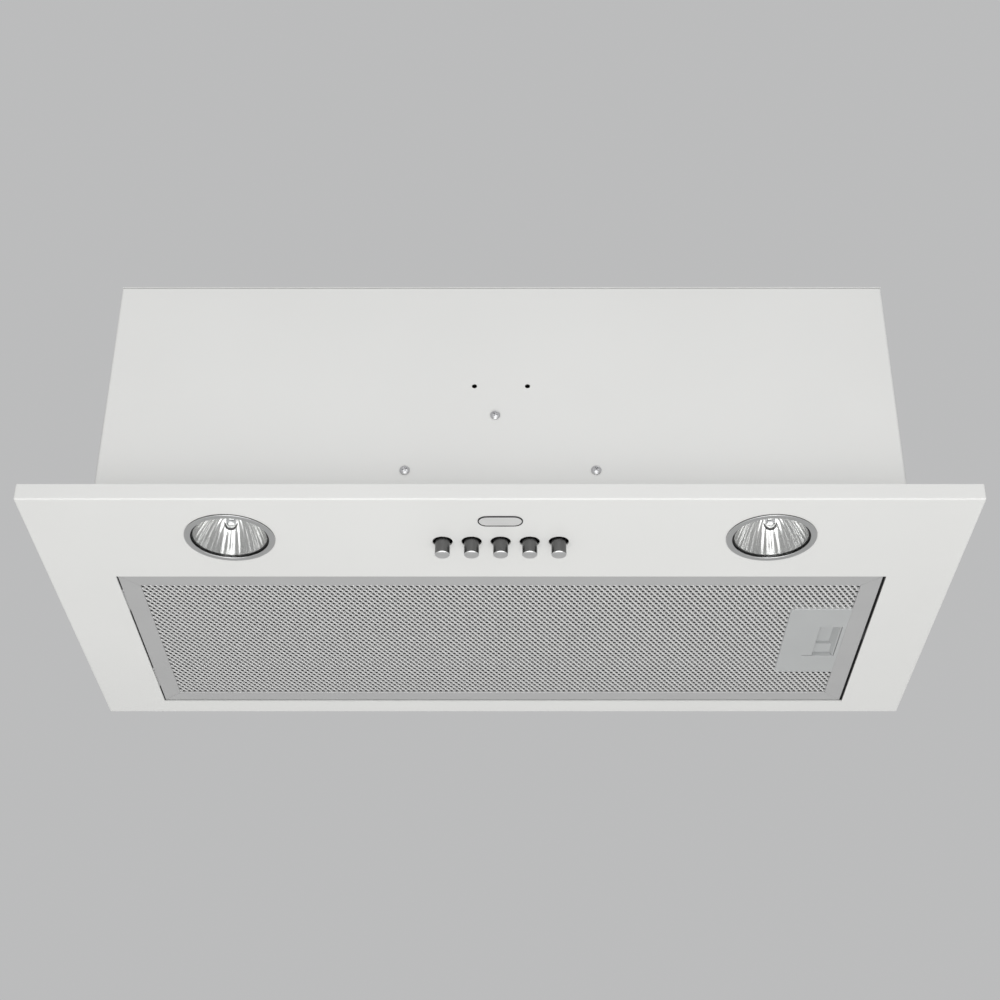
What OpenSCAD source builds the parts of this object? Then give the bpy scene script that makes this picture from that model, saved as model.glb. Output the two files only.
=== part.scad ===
// Built-in cooker hood (fume extractor block) with a sheet-steel body, one blower, two spot
// lamps, five push buttons and a drop-down grease filter. Millimetres, +Z up, front at -Y.
// The origin is the centre of the cabinet cut-out, in the plane where the rim meets the cabinet.

/* [Face panel] */
// Overall width of the face panel
panel_w = 600; // [540:1:900]
// Overall depth of the face panel, front to back
panel_d = 312; // [300:1:380]
// Height of the panel's folded rim
rim_h = 11; // [9:0.5:14]
// Thickness of the panel's steel
panel_t = 1; // [0.8:0.1:1.2]
// Width of the rim's inward lip, which seats against the cabinet
lip_w = 12; // [6:1:14]

/* [Body] */
// Margin between the panel's side edge and the body
side_margin = 44; // [30:1:60]
// Setback of the body behind the panel's front edge
front_margin = 18; // [16:1:19]
// Setback of the body ahead of the panel's back edge
back_margin = 14; // [12:1:20]
// Height of the body above the cabinet seat
body_h = 168; // [140:1:210]
// Thickness of the body's steel
sheet_t = 0.8; // [0.6:0.1:1]
// Width of the body's folded flanges
flange_w = 10; // [6:1:11]

/* [Grease filter] */
// Distance from the panel's front edge to the filter opening
filter_set = 98.5; // [92:0.5:110]
// Panel strip left behind the filter opening
back_strip = 19; // [18:0.5:30]
// Thickness of the filter
filter_t = 9; // [8:0.5:9.5]
// Width of the filter's aluminium border
border_w = 13; // [10:0.5:18]
// Gap between the filter and its opening, at the front, back and left
filter_gap = 0.8; // [0.5:0.1:1.2]
// Gap at the latch end
latch_gap = 1.8; // [1:0.1:2.4]
// How far the filter's face sits above the panel's lower face
filter_recess = 0.8; // [0.4:0.1:1.2]

/* [Filter latch] */
// Width of the latch housing, along the panel
latch_w = 42; // [38:1:60]
// Depth of the latch housing
latch_d = 98; // [70:1:110]
// Width of the finger window
window_w = 15.7; // [14:0.1:18]
// Depth of the finger window
window_d = 44.7; // [30:0.1:56]
// Travel of the latch
latch_travel = 6; // [5:0.5:6.5]

/* [Lamps] */
// Distance from the panel's side edge to each lamp's centre
lamp_inset = 127.2; // [100:0.1:150]
// Distance from the panel's front edge to the lamps' centres
lamp_set = 46.8; // [46:0.1:50]
// Outer radius of the lamp bezel
bezel_r = 28.9; // [28:0.1:31]
// Radius of the lamp hole in the panel
lamp_hole_r = 26.6; // [25:0.1:27]

/* [Push buttons] */
// Spacing of the buttons
button_pitch = 18.6; // [15:0.1:24]
// Distance from the panel's front edge to the buttons
button_set = 52.3; // [48:0.1:56]
// Radius of a button
button_r = 4.8; // [4:0.1:5.2]
// Radius of a button's hole in the panel
button_hole_r = 6.5; // [5.6:0.1:7.5]
// How far a button stands below the panel
button_reach = 10; // [8:0.5:12]
// Travel of a button
button_travel = 4; // [3:0.5:5]

/* [Blower] */
// Depth of the impeller's blades
blade_d = 9; // [7:0.5:12]
// Number of blades
blades = 32; // [24:1:40]
// Inner width of the scroll
scroll_w = 100; // [80:1:120]
// Growth of the scroll's radius from cut-off to outlet
scroll_growth = 24; // [16:1:28]
// Radius of the motor shaft
shaft_r = 4; // [3:0.5:5]

/* [Duct collar] */
// Outer radius of the duct collar
collar_r = 59.5; // [49:0.5:62]
// Height of the collar above the body
collar_h = 60; // [58:1:80]

/* [Fixings] */
// Radius of the side fixing holes
side_hole_r = 2.25; // [1.5:0.05:3]
// Spacing of the two side fixing holes
side_hole_pitch = 160; // [60:1:200]
// Radius of the two holes in the front wall
front_hole_r = 1.7; // [1.2:0.1:2.4]
// Spacing of the two holes in the front wall
front_hole_pitch = 34.6; // [20:0.1:60]
// Radius of the supply cable's hole in the gland
cable_r = 4; // [3:0.1:5]

/* [Hidden] */
LAMPS = ["left", "right"];

$fn = 72;
tiny = 0.01;
overcut = 1;

// Planes of the panel and body
face_z = -rim_h;
floor_z = face_z + panel_t;
front_y = -panel_d / 2;
back_y = panel_d / 2;
body_w = panel_w - 2 * side_margin;
body_front = front_y + front_margin;
body_back = back_y - back_margin;
inner_w = body_w - 2 * sheet_t;
inner_front = body_front + sheet_t;
inner_back = body_back - sheet_t;
top_under = body_h - sheet_t;
flange_top = floor_z + sheet_t;

// Filter opening and filter
open_x0 = -inner_w / 2;
open_x1 = inner_w / 2;
open_y0 = front_y + filter_set;
open_y1 = back_y - back_strip;
filter_x0 = open_x0 + filter_gap;
filter_x1 = open_x1 - latch_gap;
filter_y0 = open_y0 + filter_gap;
filter_y1 = open_y1 - filter_gap;
filter_yc = (filter_y0 + filter_y1) / 2;
filter_z0 = face_z + filter_recess;
filter_z1 = filter_z0 + filter_t;
frame_t = 0.8;
mesh_t = 0.6;
mesh_bite = 7;
pleat = 12;
pleat_flat = 1.5;
pleat_t = 0.4;
stop_clear = 0.3;
stop_z = filter_z1 + stop_clear;
stop_reach = 7;
stop_foot = 3;
stop_gap = 0.2;
tab_w = 24;
tab_t = 1.2;
tab_reach = 5;
tab_lift = 0.35;
tab_z = flange_top - sheet_t + tab_lift;
tab_slot = 3;
tab_slot_h = 7.5;
tab_ys = [filter_yc - 60, filter_yc + 60];

// Latch
latch_x1 = filter_x1 - border_w;
latch_x0 = latch_x1 - latch_w;
latch_wall = 1.2;
latch_top = filter_z1 - frame_t;
latch_round = 5;
notch_w = 7;
notch_d = 1;
window_x1 = latch_x1 - 2.6;
window_x0 = window_x1 - window_w;
slider_t = 1.6;
slider_z = filter_z0 + 5.3;
slider_x0 = latch_x0 + latch_wall + 11;
slider_y = window_d + 8;
slider_clear = 0.3;
grip_w = 6;
grip_lip = 1.2;
step_d = 12;
step_h = 2;
tongue_w = 16;
tongue_reach = 2.8;
tongue_tip = open_x1 + sheet_t + tongue_reach;
spring_r = 2;
spring_wire = 0.5;

// Lamps
lamp_x = panel_w / 2 - lamp_inset;
lamp_y = front_y + lamp_set;
bezel_t = 1.4;
tube_clear = 0.2;
tube_r = lamp_hole_r - tube_clear;
tube_t = 0.8;
glass_r = tube_r - tube_t - 0.1;
bezel_lip_r = glass_r - 0.5;
glass_z = face_z - bezel_t + 0.9;
glass_t = 2;
mirror_z = glass_z + glass_t;
mirror_r = glass_r - 0.7;
mirror_h = 30;
neck_r = 9;
neck_h = 8;
socket_h = 13;
can_r = lamp_hole_r + 0.6;
can_t = 0.6;
can_top = mirror_z + mirror_h + neck_h + socket_h + can_t;

// Switch unit
switch_y = front_y + button_set;
switch_z0 = floor_z + 4;
switch_z1 = switch_z0 + 32;
switch_d = 22;
bore_clear = 0.1;
switch_w = 5 * button_pitch + 12;
guide_l = 3;
button_top = switch_z0 + 10;
bore_top = button_top + button_travel + 6;
shoulder_r = button_r + 0.9;
shoulder_z = switch_z0 + guide_l + 0.3;
shoulder_h = 2;
shoulder_clear = 0.4;
stem_r = 1.4;
button_spring_r = 2.6;
cheek_t = 1;
switch_screw_x = switch_w / 2 + 8.2;
switch_screw_z = 21.2;
bracket_w = 2 * switch_screw_x + 14;

// Screws
screw_r = 1.75;
head_r = 3.3;
head_h = 2;
screw_l = 9;
box_screw = [-3.6, 63.2];
front_hole_z = 86.3;
side_hole_z = 8;

// Blower: hangs from the top panel and fills the height that is left above the filter
blower_clear = 9;
throat_h = 15;
cutoff_gap = 4;
scroll_t = 1.5;
scroll_ear = 26;
scroll_ear_t = 2;
cutoff_a = 100;
spiral_a = 280;
bottom_share = (cutoff_a + 90) / spiral_a;
impeller_r = (top_under - blower_clear - throat_h - cutoff_gap - scroll_t
    - scroll_growth * bottom_share) / 2;
scroll_r0 = impeller_r + cutoff_gap;
scroll_r1 = scroll_r0 + scroll_growth;
duct_y = (body_front + body_back) / 2;
axis_y = duct_y + (scroll_r1 - scroll_r0 * cos(cutoff_a)) / 2;
axis_z = top_under - throat_h - impeller_r;
cutoff_y = axis_y + scroll_r0 * cos(cutoff_a);
outlet_y0 = axis_y - scroll_r1;
inlet_r = impeller_r - blade_d - 1;
impeller_w = scroll_w - 6;
motor_r = inlet_r - 9;
motor_l = impeller_w / 2 - 8;
motor_x0 = 5;
hub_r = 9;
hub_l = 16;
bearing_r = 9;
bearing_l = 6;
shaft_clear = 0.05;
bracket_gap = 3;
arm_r = inlet_r + 7;
arm_a = [90, 210, 330];
shaft_l = hub_l + motor_x0 + motor_l + 3;

// Duct collar and its damper flaps
collar_t = 1.5;
collar_in = collar_r - collar_t;
collar_base = 2;
ledge_w = 4;
ledge_z = body_h + collar_base + 1.5;
rod_z = ledge_z + 2;
rod_r = 1.25;
rod_clear = 0.08;
knuckle_r = 2.3;
flap_t = 1.2;
flap_gap = 1;
duct_hole_r = collar_in - ledge_w;
knuckle_end = 9;
knuckle_l = (duct_hole_r - knuckle_end - 1) / 2;
// The collar's screws stay outside the scroll's walls, however small the collar is
scroll_half_y = (cutoff_y - outlet_y0) / 2 + scroll_t;
collar_screw_r = max(collar_r + 6.5, (scroll_half_y + screw_r + 1) / sin(45));
collar_flange = collar_screw_r + 5.5;

// Supply cable gland, terminal box and capacitor
gland_x = body_w / 2 - 76;
gland_y = body_back - 52;
gland_r = 8;
box_w = 72;
box_d = 25;
box_h = 34;
lid_t = 2;
cap_x = -(scroll_w / 2 + 75);
cap_y = duct_y - 10;
cap_r = 16;
cap_l = 60;
clip_t = 1;
clip_ear = 12;
clip_w = 12;

// Where the screws go, each as [x, y] on the top panel
blower_spots = [for (x = [-1, 1]) for (y = [outlet_y0 + 8, cutoff_y - 8])
    [x * (scroll_w / 2 + scroll_t + scroll_ear - 7), y]];
collar_spots = [for (a = [45 : 90 : 315])
    [collar_screw_r * cos(a), duct_y + collar_screw_r * sin(a)]];
top_spots = concat(
    [for (x = [-1, 0, 1]) for (y = [body_front + 6, body_back - 6]) [x * (body_w / 2 - 30), y]],
    [for (x = [-1, 1]) [x * (body_w / 2 - 6), duct_y]],
    [for (x = [-1, 1]) [cap_x + x * (cap_r + clip_ear / 2 + 1), cap_y]]);

// ---- Shared shapes ----

module box(x0, x1, y0, y1, z0, z1) {
    translate([x0, y0, z0]) cube([x1 - x0, y1 - y0, z1 - z0]);
}

// A rod along Z from z0 to z1
module rod(r, z0, z1) {
    translate([0, 0, z0]) cylinder(r = r, h = z1 - z0);
}

// A rod along X from x0 to x1
module rod_x(r, x0, x1) {
    translate([x0, 0, 0]) rotate([0, 90, 0]) cylinder(r = r, h = x1 - x0);
}

// A pan-head screw with its head's underside at z = 0 and its shank down
module screw(l = screw_l, r = screw_r) {
    difference() {
        union() {
            rod(r, -l, tiny);
            rod(head_r, 0, head_h - 0.6);
            translate([0, 0, head_h - 0.6]) cylinder(r1 = head_r, r2 = head_r - 0.9, h = 0.6);
        }
        for (a = [0, 90])
            rotate([0, 0, a]) box(-1.9, 1.9, -0.4, 0.4, head_h - 1.2, head_h + overcut);
    }
}

// A bent wire spring along Z, as a swept polyhedron
module coil(r, wire, z0, z1, turns, steps = 12, sides = 6) {
    n = turns * steps;
    rise = z1 - z0 - 2 * wire;
    function ring(i) = [for (k = [0 : sides - 1])
        let (a = 360 * i / steps, b = 360 * k / sides, q = r - wire + wire * cos(b))
        [q * cos(a), q * sin(a), z0 + wire + rise * i / n + wire * sin(b)]];
    points = [for (i = [0 : n]) for (p = ring(i)) p];
    walls = [for (i = [0 : n - 1]) for (k = [0 : sides - 1])
        let (a = i * sides + k, b = i * sides + (k + 1) % sides)
        for (f = [[a, a + sides, b], [b, a + sides, b + sides]]) f];
    caps = [[for (k = [0 : sides - 1]) k], [for (k = [sides - 1 : -1 : 0]) n * sides + k]];
    polyhedron(points, concat(walls, caps), convexity = 8);
}

// ---- Face panel and body ----

module face_panel() {
    color("gainsboro") difference() {
        box(-panel_w / 2, panel_w / 2, front_y, back_y, face_z, 0);
        box(-panel_w / 2 + panel_t, panel_w / 2 - panel_t, front_y + panel_t, back_y - panel_t,
            floor_z, -panel_t);
        box(-panel_w / 2 + lip_w, panel_w / 2 - lip_w, front_y + lip_w, back_y - lip_w,
            -panel_t - overcut, overcut);
        box(open_x0, open_x1, open_y0, open_y1, face_z - overcut, floor_z + overcut);
        for (s = [-1, 1])
            translate([s * lamp_x, lamp_y, 0]) rod(lamp_hole_r, face_z - overcut, floor_z + overcut);
        for (i = [-2 : 2])
            translate([i * button_pitch, switch_y, 0])
                rod(button_hole_r, face_z - overcut, floor_z + overcut);
    }
}

// Front and side walls, folded from one sheet, with a flange below and a lip above
module body_wrapper() {
    top_lip = 12;
    color("gainsboro") difference() {
        union() {
            difference() {
                box(-body_w / 2, body_w / 2, body_front, inner_back, floor_z, top_under);
                box(open_x0, open_x1, inner_front, inner_back + overcut,
                    floor_z - overcut, top_under - sheet_t);
                box(-inner_w / 2 + top_lip, inner_w / 2 - top_lip, inner_front + top_lip,
                    inner_back + overcut, top_under - sheet_t - overcut, top_under + overcut);
            }
            box(-body_w / 2, body_w / 2, body_front - flange_w, body_front, floor_z, flange_top);
            for (s = [-1, 1]) {
                translate([s * (body_w / 2 + flange_w / 2), 0, 0])
                    box(-flange_w / 2, flange_w / 2, body_front, inner_back, floor_z, flange_top);
                translate([s * (inner_w / 2 - flange_w / 2), 0, 0])
                    box(-flange_w / 2, flange_w / 2, inner_back - sheet_t, inner_back,
                        flange_top, top_under - sheet_t);
            }
        }
        // Slots for the filter's two tabs, open down to the panel
        for (y = tab_ys)
            box(-body_w / 2 - flange_w - overcut, open_x0 + overcut,
                y - tab_w / 2 - tab_slot, y + tab_w / 2 + tab_slot,
                floor_z - overcut, floor_z + tab_slot_h);
        // Slot for the latch's tongue
        box(open_x1 - overcut, body_w / 2 + overcut,
            filter_yc - tongue_w / 2 - 1, filter_yc + tongue_w / 2 + 1,
            slider_z - slider_clear, slider_z + slider_t + 1);
        for (s = [-1, 1])
            for (y = [-1, 1])
                translate([0, filter_yc + y * side_hole_pitch / 2, side_hole_z])
                    rod_x(side_hole_r, s > 0 ? open_x1 - overcut : -body_w / 2 - overcut,
                        s > 0 ? body_w / 2 + overcut : open_x0 + overcut);
        for (spot = front_spots())
            translate([spot[0], body_front, spot[1]]) rotate([90, 0, 0]) rod(spot[2], -5, 5);
        for (spot = top_spots)
            translate([spot[0], spot[1], 0]) rod(screw_r, top_under - 5, top_under + overcut);
    }
}

// Holes through the front wall, each as [x, z, radius]
function front_spots() = concat(
    [for (s = [-1, 1]) [s * front_hole_pitch / 2, front_hole_z, front_hole_r]],
    [for (s = [-1, 1]) [s * switch_screw_x, switch_screw_z, screw_r]],
    [[box_screw[0], box_screw[1], screw_r]]);

module rear_panel() {
    top_lip = 12;
    color("gainsboro") difference() {
        union() {
            box(-body_w / 2, body_w / 2, inner_back, body_back, floor_z, top_under);
            box(-body_w / 2, body_w / 2, body_back, body_back + flange_w, floor_z, flange_top);
            box(-inner_w / 2 + top_lip + 0.2, inner_w / 2 - top_lip - 0.2, inner_back - top_lip,
                inner_back, top_under - sheet_t, top_under);
        }
        for (spot = top_spots)
            translate([spot[0], spot[1], 0]) rod(screw_r, top_under - 5, top_under + overcut);
    }
}

module top_panel() {
    color("gainsboro") difference() {
        box(-body_w / 2, body_w / 2, body_front, body_back, top_under, body_h);
        translate([0, duct_y, 0]) rod(duct_hole_r, top_under - overcut, body_h + overcut);
        for (spot = concat(top_spots, blower_spots, collar_spots))
            translate([spot[0], spot[1], 0]) rod(screw_r, top_under - overcut, body_h + overcut);
        translate([gland_x, gland_y, 0]) rod(gland_r, top_under - overcut, body_h + overcut);
    }
}

// An angle strip at y = 0, that stands on the panel and keeps the filter from going in too far
module filter_stop() {
    x = inner_w / 2 - 4;
    box(-x, x, 0, sheet_t, floor_z, stop_z);
    box(-x, x, 0, stop_foot, floor_z, flange_top);
    box(-x, x, -stop_reach, sheet_t, stop_z, stop_z + sheet_t);
}

// One strip along the opening's front edge and one along its back edge
module filter_stops() {
    color("silver") {
        translate([0, open_y1 + stop_gap, 0]) filter_stop();
        translate([0, open_y0 - stop_gap, 0]) mirror([0, 1, 0]) filter_stop();
    }
}

module front_screws() {
    color("silver") {
        for (s = [-1, 1])
            translate([s * switch_screw_x, body_front, switch_screw_z]) rotate([90, 0, 0]) screw();
        translate([box_screw[0], body_front, box_screw[1]]) rotate([90, 0, 0]) screw();
    }
}

module screws_at(spots, z, l = screw_l) {
    color("silver") for (spot = spots) translate([spot[0], spot[1], z]) screw(l);
}

// ---- Lamps ----

module lamp_at(side) {
    translate([(side == "left" ? -1 : 1) * lamp_x, lamp_y, 0]) children();
}

module both_lamps() {
    for (side = LAMPS) lamp_at(side) children();
}

module lamp_bezel() {
    color("silver") rotate_extrude()
        polygon([[bezel_lip_r, face_z - bezel_t + 0.3], [bezel_lip_r + 0.4, face_z - bezel_t],
            [bezel_r - 0.9, face_z - bezel_t], [bezel_r, face_z - 0.5], [bezel_r, face_z],
            [tube_r, face_z], [tube_r, floor_z + 9], [tube_r - tube_t, floor_z + 9],
            [tube_r - tube_t, glass_z], [bezel_lip_r, glass_z]]);
}

module lamp_glass() {
    color("white", 0.4) rod(glass_r, glass_z, glass_z + glass_t);
}

// Radius of the reflector's bowl at a share of its height, a paraboloid
function bowl_r(share) = neck_r + (mirror_r - neck_r) * sqrt(1 - share);

module lamp_reflector() {
    wall = 1.2;
    n = 12;
    outer = [for (i = [0 : n]) [bowl_r(i / n), mirror_z + mirror_h * i / n]];
    inner = [for (i = [n : -1 : 0])
        [bowl_r(i / n) - wall, mirror_z + (mirror_h - 1.5) * i / n]];
    color("lightgray") {
        rotate_extrude() polygon(concat(outer,
            [[neck_r, mirror_z + mirror_h + neck_h], [0, mirror_z + mirror_h + neck_h],
                [0, mirror_z + mirror_h - 1.5]], inner));
    }
}

module lamp_capsule() {
    color("white", 0.6) {
        z1 = mirror_z + mirror_h - 1.5;
        rod(4.4, z1 - 12, z1);
        translate([0, 0, z1 - 12]) sphere(r = 4.4);
    }
}

module lamp_socket() {
    z0 = mirror_z + mirror_h + neck_h;
    color("ivory") rod(10, z0, z0 + socket_h);
}

module lamp_can() {
    color("gray") difference() {
        union() {
            rod(can_r, floor_z, can_top);
            box(-can_r - 7, can_r + 7, -6, 6, floor_z, flange_top);
        }
        rod(can_r - can_t, floor_z - overcut, can_top - can_t);
        translate([0, 14, 0]) rod(4, can_top - 3, can_top + overcut);
    }
}

// ---- Switch unit ----

module switch_bracket() {
    side = switch_w / 2;
    color("silver") difference() {
        union() {
            box(-bracket_w / 2, bracket_w / 2, inner_front, inner_front + cheek_t, switch_z0, 32);
            for (s = [-1, 1])
                translate([s * (side + cheek_t / 2), 0, 0])
                    box(-cheek_t / 2, cheek_t / 2, inner_front, switch_y + switch_d / 2,
                        switch_z0 + 4, switch_z1 - 6);
        }
        for (s = [-1, 1])
            translate([s * switch_screw_x, inner_front, switch_screw_z])
                rotate([90, 0, 0]) rod(screw_r, -5, 5);
    }
}

module switch_body() {
    color("black") difference() {
        box(-switch_w / 2, switch_w / 2, switch_y - switch_d / 2, switch_y + switch_d / 2,
            switch_z0, switch_z1);
        for (i = [-2 : 2])
            translate([i * button_pitch, switch_y, 0]) {
                rod(button_r + bore_clear, switch_z0 - overcut, button_top + button_travel + 1);
                rod(shoulder_r + shoulder_clear, switch_z0 + guide_l,
                    shoulder_z + shoulder_h + button_travel + 1);
                rod(button_spring_r + 0.6, button_top, bore_top);
            }
    }
}

module switch_terminals() {
    color("goldenrod") for (i = [-3 : 2])
        translate([(i + 0.5) * button_pitch * 0.85, switch_y, 0])
            for (y = [-5, 5])
                box(-2.4, 2.4, y - 0.4, y + 0.4, switch_z1, switch_z1 + 8);
}

module button(i) {
    color("silver") translate([(i - 3) * button_pitch, switch_y, 0]) {
        tip = face_z - button_reach;
        translate([0, 0, tip]) cylinder(r1 = button_r - 0.5, r2 = button_r, h = 0.5);
        rod(button_r, tip + 0.5, button_top);
        rod(shoulder_r, shoulder_z, shoulder_z + shoulder_h);
        rod(stem_r, button_top - tiny, button_top + 5);
    }
}

module button_spring(i) {
    color("dimgray") translate([(i - 3) * button_pitch, switch_y, 0])
        coil(button_spring_r, 0.35, button_top, bore_top, 4);
}

// ---- Terminal box, capacitor and gland ----

module terminal_box() {
    x0 = box_screw[0] - box_w / 2;
    z0 = box_screw[1] - box_h / 2;
    wall = 2;
    color("dimgray") difference() {
        box(x0, x0 + box_w, inner_front, inner_front + box_d, z0, z0 + box_h);
        difference() {
            box(x0 + wall, x0 + box_w - wall, inner_front + wall, inner_front + box_d + overcut,
                z0 + wall, z0 + box_h - wall);
            translate([box_screw[0], inner_front, box_screw[1]])
                rotate([-90, 0, 0]) rod(5, 0, box_d);
        }
        translate([box_screw[0], inner_front, box_screw[1]])
            rotate([-90, 0, 0]) rod(screw_r, -overcut, screw_l + 1);
    }
}

module terminal_lid() {
    x0 = box_screw[0] - box_w / 2;
    z0 = box_screw[1] - box_h / 2;
    y0 = inner_front + box_d;
    color("dimgray") box(x0, x0 + box_w, y0, y0 + lid_t, z0, z0 + box_h);
}

module capacitor() {
    color("white") translate([cap_x, cap_y, top_under - clip_t - cap_r])
        rotate([90, 0, 0]) rod(cap_r, -cap_l / 2, cap_l / 2);
}

module capacitor_clip() {
    zc = top_under - clip_t - cap_r;
    color("silver") translate([cap_x, cap_y, 0]) difference() {
        union() {
            translate([0, 0, zc]) rotate([90, 0, 0]) rod(cap_r + clip_t, -clip_w / 2, clip_w / 2);
            box(-cap_r - clip_ear, cap_r + clip_ear, -clip_w / 2, clip_w / 2,
                top_under - clip_t, top_under);
        }
        translate([0, 0, zc]) rotate([90, 0, 0]) rod(cap_r, -clip_w, clip_w);
        for (s = [-1, 1])
            translate([s * (cap_r + clip_ear / 2 + 1), 0, 0])
                rod(screw_r, top_under - 5, top_under + overcut);
    }
}

module cable_gland() {
    color("black") translate([gland_x, gland_y, 0]) difference() {
        union() {
            rod(gland_r, top_under - 9, body_h + tiny);
            translate([0, 0, body_h]) cylinder(r = 12, h = 6, $fn = 6);
            rod(9.5, body_h + 6, body_h + 16);
        }
        rod(cable_r, top_under - 10, body_h + 20);
    }
}

module gland_nut() {
    color("black") translate([gland_x, gland_y, 0]) difference() {
        translate([0, 0, top_under - 5]) cylinder(r = 12, h = 5, $fn = 6);
        rod(gland_r, top_under - 6, top_under + overcut);
    }
}

// ---- Grease filter ----

module filter_frame() {
    color("silver") difference() {
        union() {
            difference() {
                box(filter_x0, filter_x1, filter_y0, filter_y1, filter_z0, filter_z1);
                box(filter_x0 + border_w, filter_x1 - border_w, filter_y0 + border_w,
                    filter_y1 - border_w, filter_z0 - overcut, filter_z1 + overcut);
                box(filter_x0 + frame_t, filter_x1 - frame_t, filter_y0 + frame_t,
                    filter_y1 - frame_t, filter_z0 + frame_t, filter_z1 - frame_t);
            }
            for (y = tab_ys)
                box(filter_x0 - filter_gap - sheet_t - tab_reach, filter_x0 + frame_t,
                    y - tab_w / 2, y + tab_w / 2, tab_z, tab_z + tab_t);
        }
        box(filter_x1 - border_w - overcut, filter_x1 + overcut, filter_yc - tongue_w / 2 - 0.5,
            filter_yc + tongue_w / 2 + 0.5, slider_z - 0.4, slider_z + slider_t + 0.4);
    }
}

// The latch housing's outline, with round corners where it meets the mesh
module latch_outline(x1) {
    y0 = filter_yc - latch_d / 2;
    y1 = filter_yc + latch_d / 2;
    translate([latch_x0 + latch_round, y0]) square([x1 - latch_x0 - latch_round, latch_d]);
    translate([latch_x0, y0 + latch_round]) square([2 * latch_round, latch_d - 2 * latch_round]);
    for (y = [y0 + latch_round, y1 - latch_round])
        translate([latch_x0 + latch_round, y]) circle(r = latch_round);
}

// A flat sheet of the filter between two heights, cut out around the latch housing
module filter_sheet(z0, z1) {
    bite = border_w - mesh_bite;
    translate([0, 0, z0]) linear_extrude(height = z1 - z0) difference() {
        translate([filter_x0 + bite, filter_y0 + bite])
            square([filter_x1 - filter_x0 - 2 * bite, filter_y1 - filter_y0 - 2 * bite]);
        latch_outline(filter_x1);
    }
}

module filter_mesh_lower() {
    color("gainsboro") filter_sheet(filter_z0 + frame_t, filter_z0 + frame_t + mesh_t);
}

// The pleated layer between the two meshes, folded along Y
module filter_core() {
    bite = border_w - mesh_bite;
    z0 = filter_z0 + frame_t + mesh_t;
    rise = filter_z1 - frame_t - mesh_t - pleat_t - z0;
    n = floor((filter_x1 - filter_x0 - 2 * bite) / pleat);
    x0 = (filter_x0 + filter_x1 - n * pleat) / 2;
    folds = [for (i = [0 : n - 1]) let (x = x0 + i * pleat)
        for (p = [[x, 0], [x + pleat_flat, 0], [x + pleat / 2, rise],
            [x + pleat / 2 + pleat_flat, rise]]) p];
    under = [for (p = folds) [p[0], z0 + p[1]]];
    over = [for (i = [len(folds) - 1 : -1 : 0]) [folds[i][0], z0 + folds[i][1] + pleat_t]];
    color("darkgray") difference() {
        translate([0, filter_y1 - bite, 0]) rotate([90, 0, 0])
            linear_extrude(height = filter_y1 - filter_y0 - 2 * bite)
                polygon(concat(under, over));
        translate([0, 0, z0 - overcut]) linear_extrude(height = filter_t)
            latch_outline(filter_x1);
    }
}

module filter_mesh_upper() {
    color("gainsboro") filter_sheet(filter_z1 - frame_t - mesh_t, filter_z1 - frame_t);
}

module latch_housing() {
    window_y1 = filter_yc + window_d / 2;
    color("darkgray") difference() {
        union() {
            translate([0, 0, filter_z0]) linear_extrude(height = latch_top - filter_z0)
                latch_outline(latch_x1);
            box(latch_x1 - tiny, filter_x1 - frame_t, filter_yc - slider_y / 2 - 2,
                filter_yc + slider_y / 2 + 2, filter_z0 + frame_t, latch_top);
        }
        // Slider's room, window and the tongue's way out
        box(latch_x0 + latch_wall, filter_x1, filter_yc - slider_y / 2 - slider_clear,
            filter_yc + slider_y / 2 + slider_clear, slider_z - slider_clear,
            slider_z + slider_t + slider_clear);
        box(window_x0, window_x1, window_y1 - window_d, window_y1,
            filter_z0 - overcut, slider_z);
        box(window_x0 - notch_w, window_x0 + tiny, window_y1 - notch_d, window_y1,
            filter_z0 - overcut, slider_z);
        translate([0, filter_yc, slider_z + slider_t / 2])
            rod_x(spring_r + 0.3, latch_x0 + latch_wall, slider_x0 + latch_travel);
    }
}

module latch_slider() {
    pull = window_x1 - slider_clear;
    half = window_d / 2 - slider_clear;
    grip_z = filter_z0 + 0.5;
    color("darkgray") {
        box(slider_x0, filter_x1 - border_w + 4, filter_yc - slider_y / 2,
            filter_yc + slider_y / 2, slider_z, slider_z + slider_t);
        box(filter_x1 - border_w, tongue_tip, filter_yc - tongue_w / 2,
            filter_yc + tongue_w / 2, slider_z, slider_z + slider_t);
        // Sloped finger grip, seen through the window
        translate([0, filter_yc + half, 0]) rotate([90, 0, 0])
            linear_extrude(height = 2 * half)
                polygon([[pull - grip_w, slider_z + tiny], [pull, slider_z + tiny],
                    [pull, grip_z], [pull - grip_lip, grip_z]]);
        box(window_x0 + latch_travel + slider_clear, pull - grip_lip,
            filter_yc + half - step_d, filter_yc + half, slider_z - step_h, slider_z + tiny);
    }
}

module latch_spring() {
    color("dimgray") translate([latch_x0 + latch_wall, filter_yc, slider_z + slider_t / 2])
        rotate([0, 90, 0])
            coil(spring_r, spring_wire / 2, 0, slider_x0 - latch_x0 - latch_wall, 5);
}

// ---- Blower ----

// A point of the spiral, offset outwards, as [y, z]
function spiral(a, extra) =
    let (r = scroll_r0 + scroll_growth * (cutoff_a - a) / spiral_a + extra)
    [axis_y + r * cos(a), axis_z + r * sin(a)];

// Outline of the scroll in the Y-Z plane: the spiral, then straight up to the outlet.
// The first stretch of the spiral stays behind the throat's wall.
function scroll_outline(extra, top) = let (n = 40) concat(
    [[cutoff_y + extra, top]],
    [for (i = [0 : n]) let (a = cutoff_a - spiral_a * i / n, p = spiral(a, extra))
        [a > 0 ? max(p[0], cutoff_y + extra) : p[0], p[1]]],
    [[outlet_y0 - extra, top]]);

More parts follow.
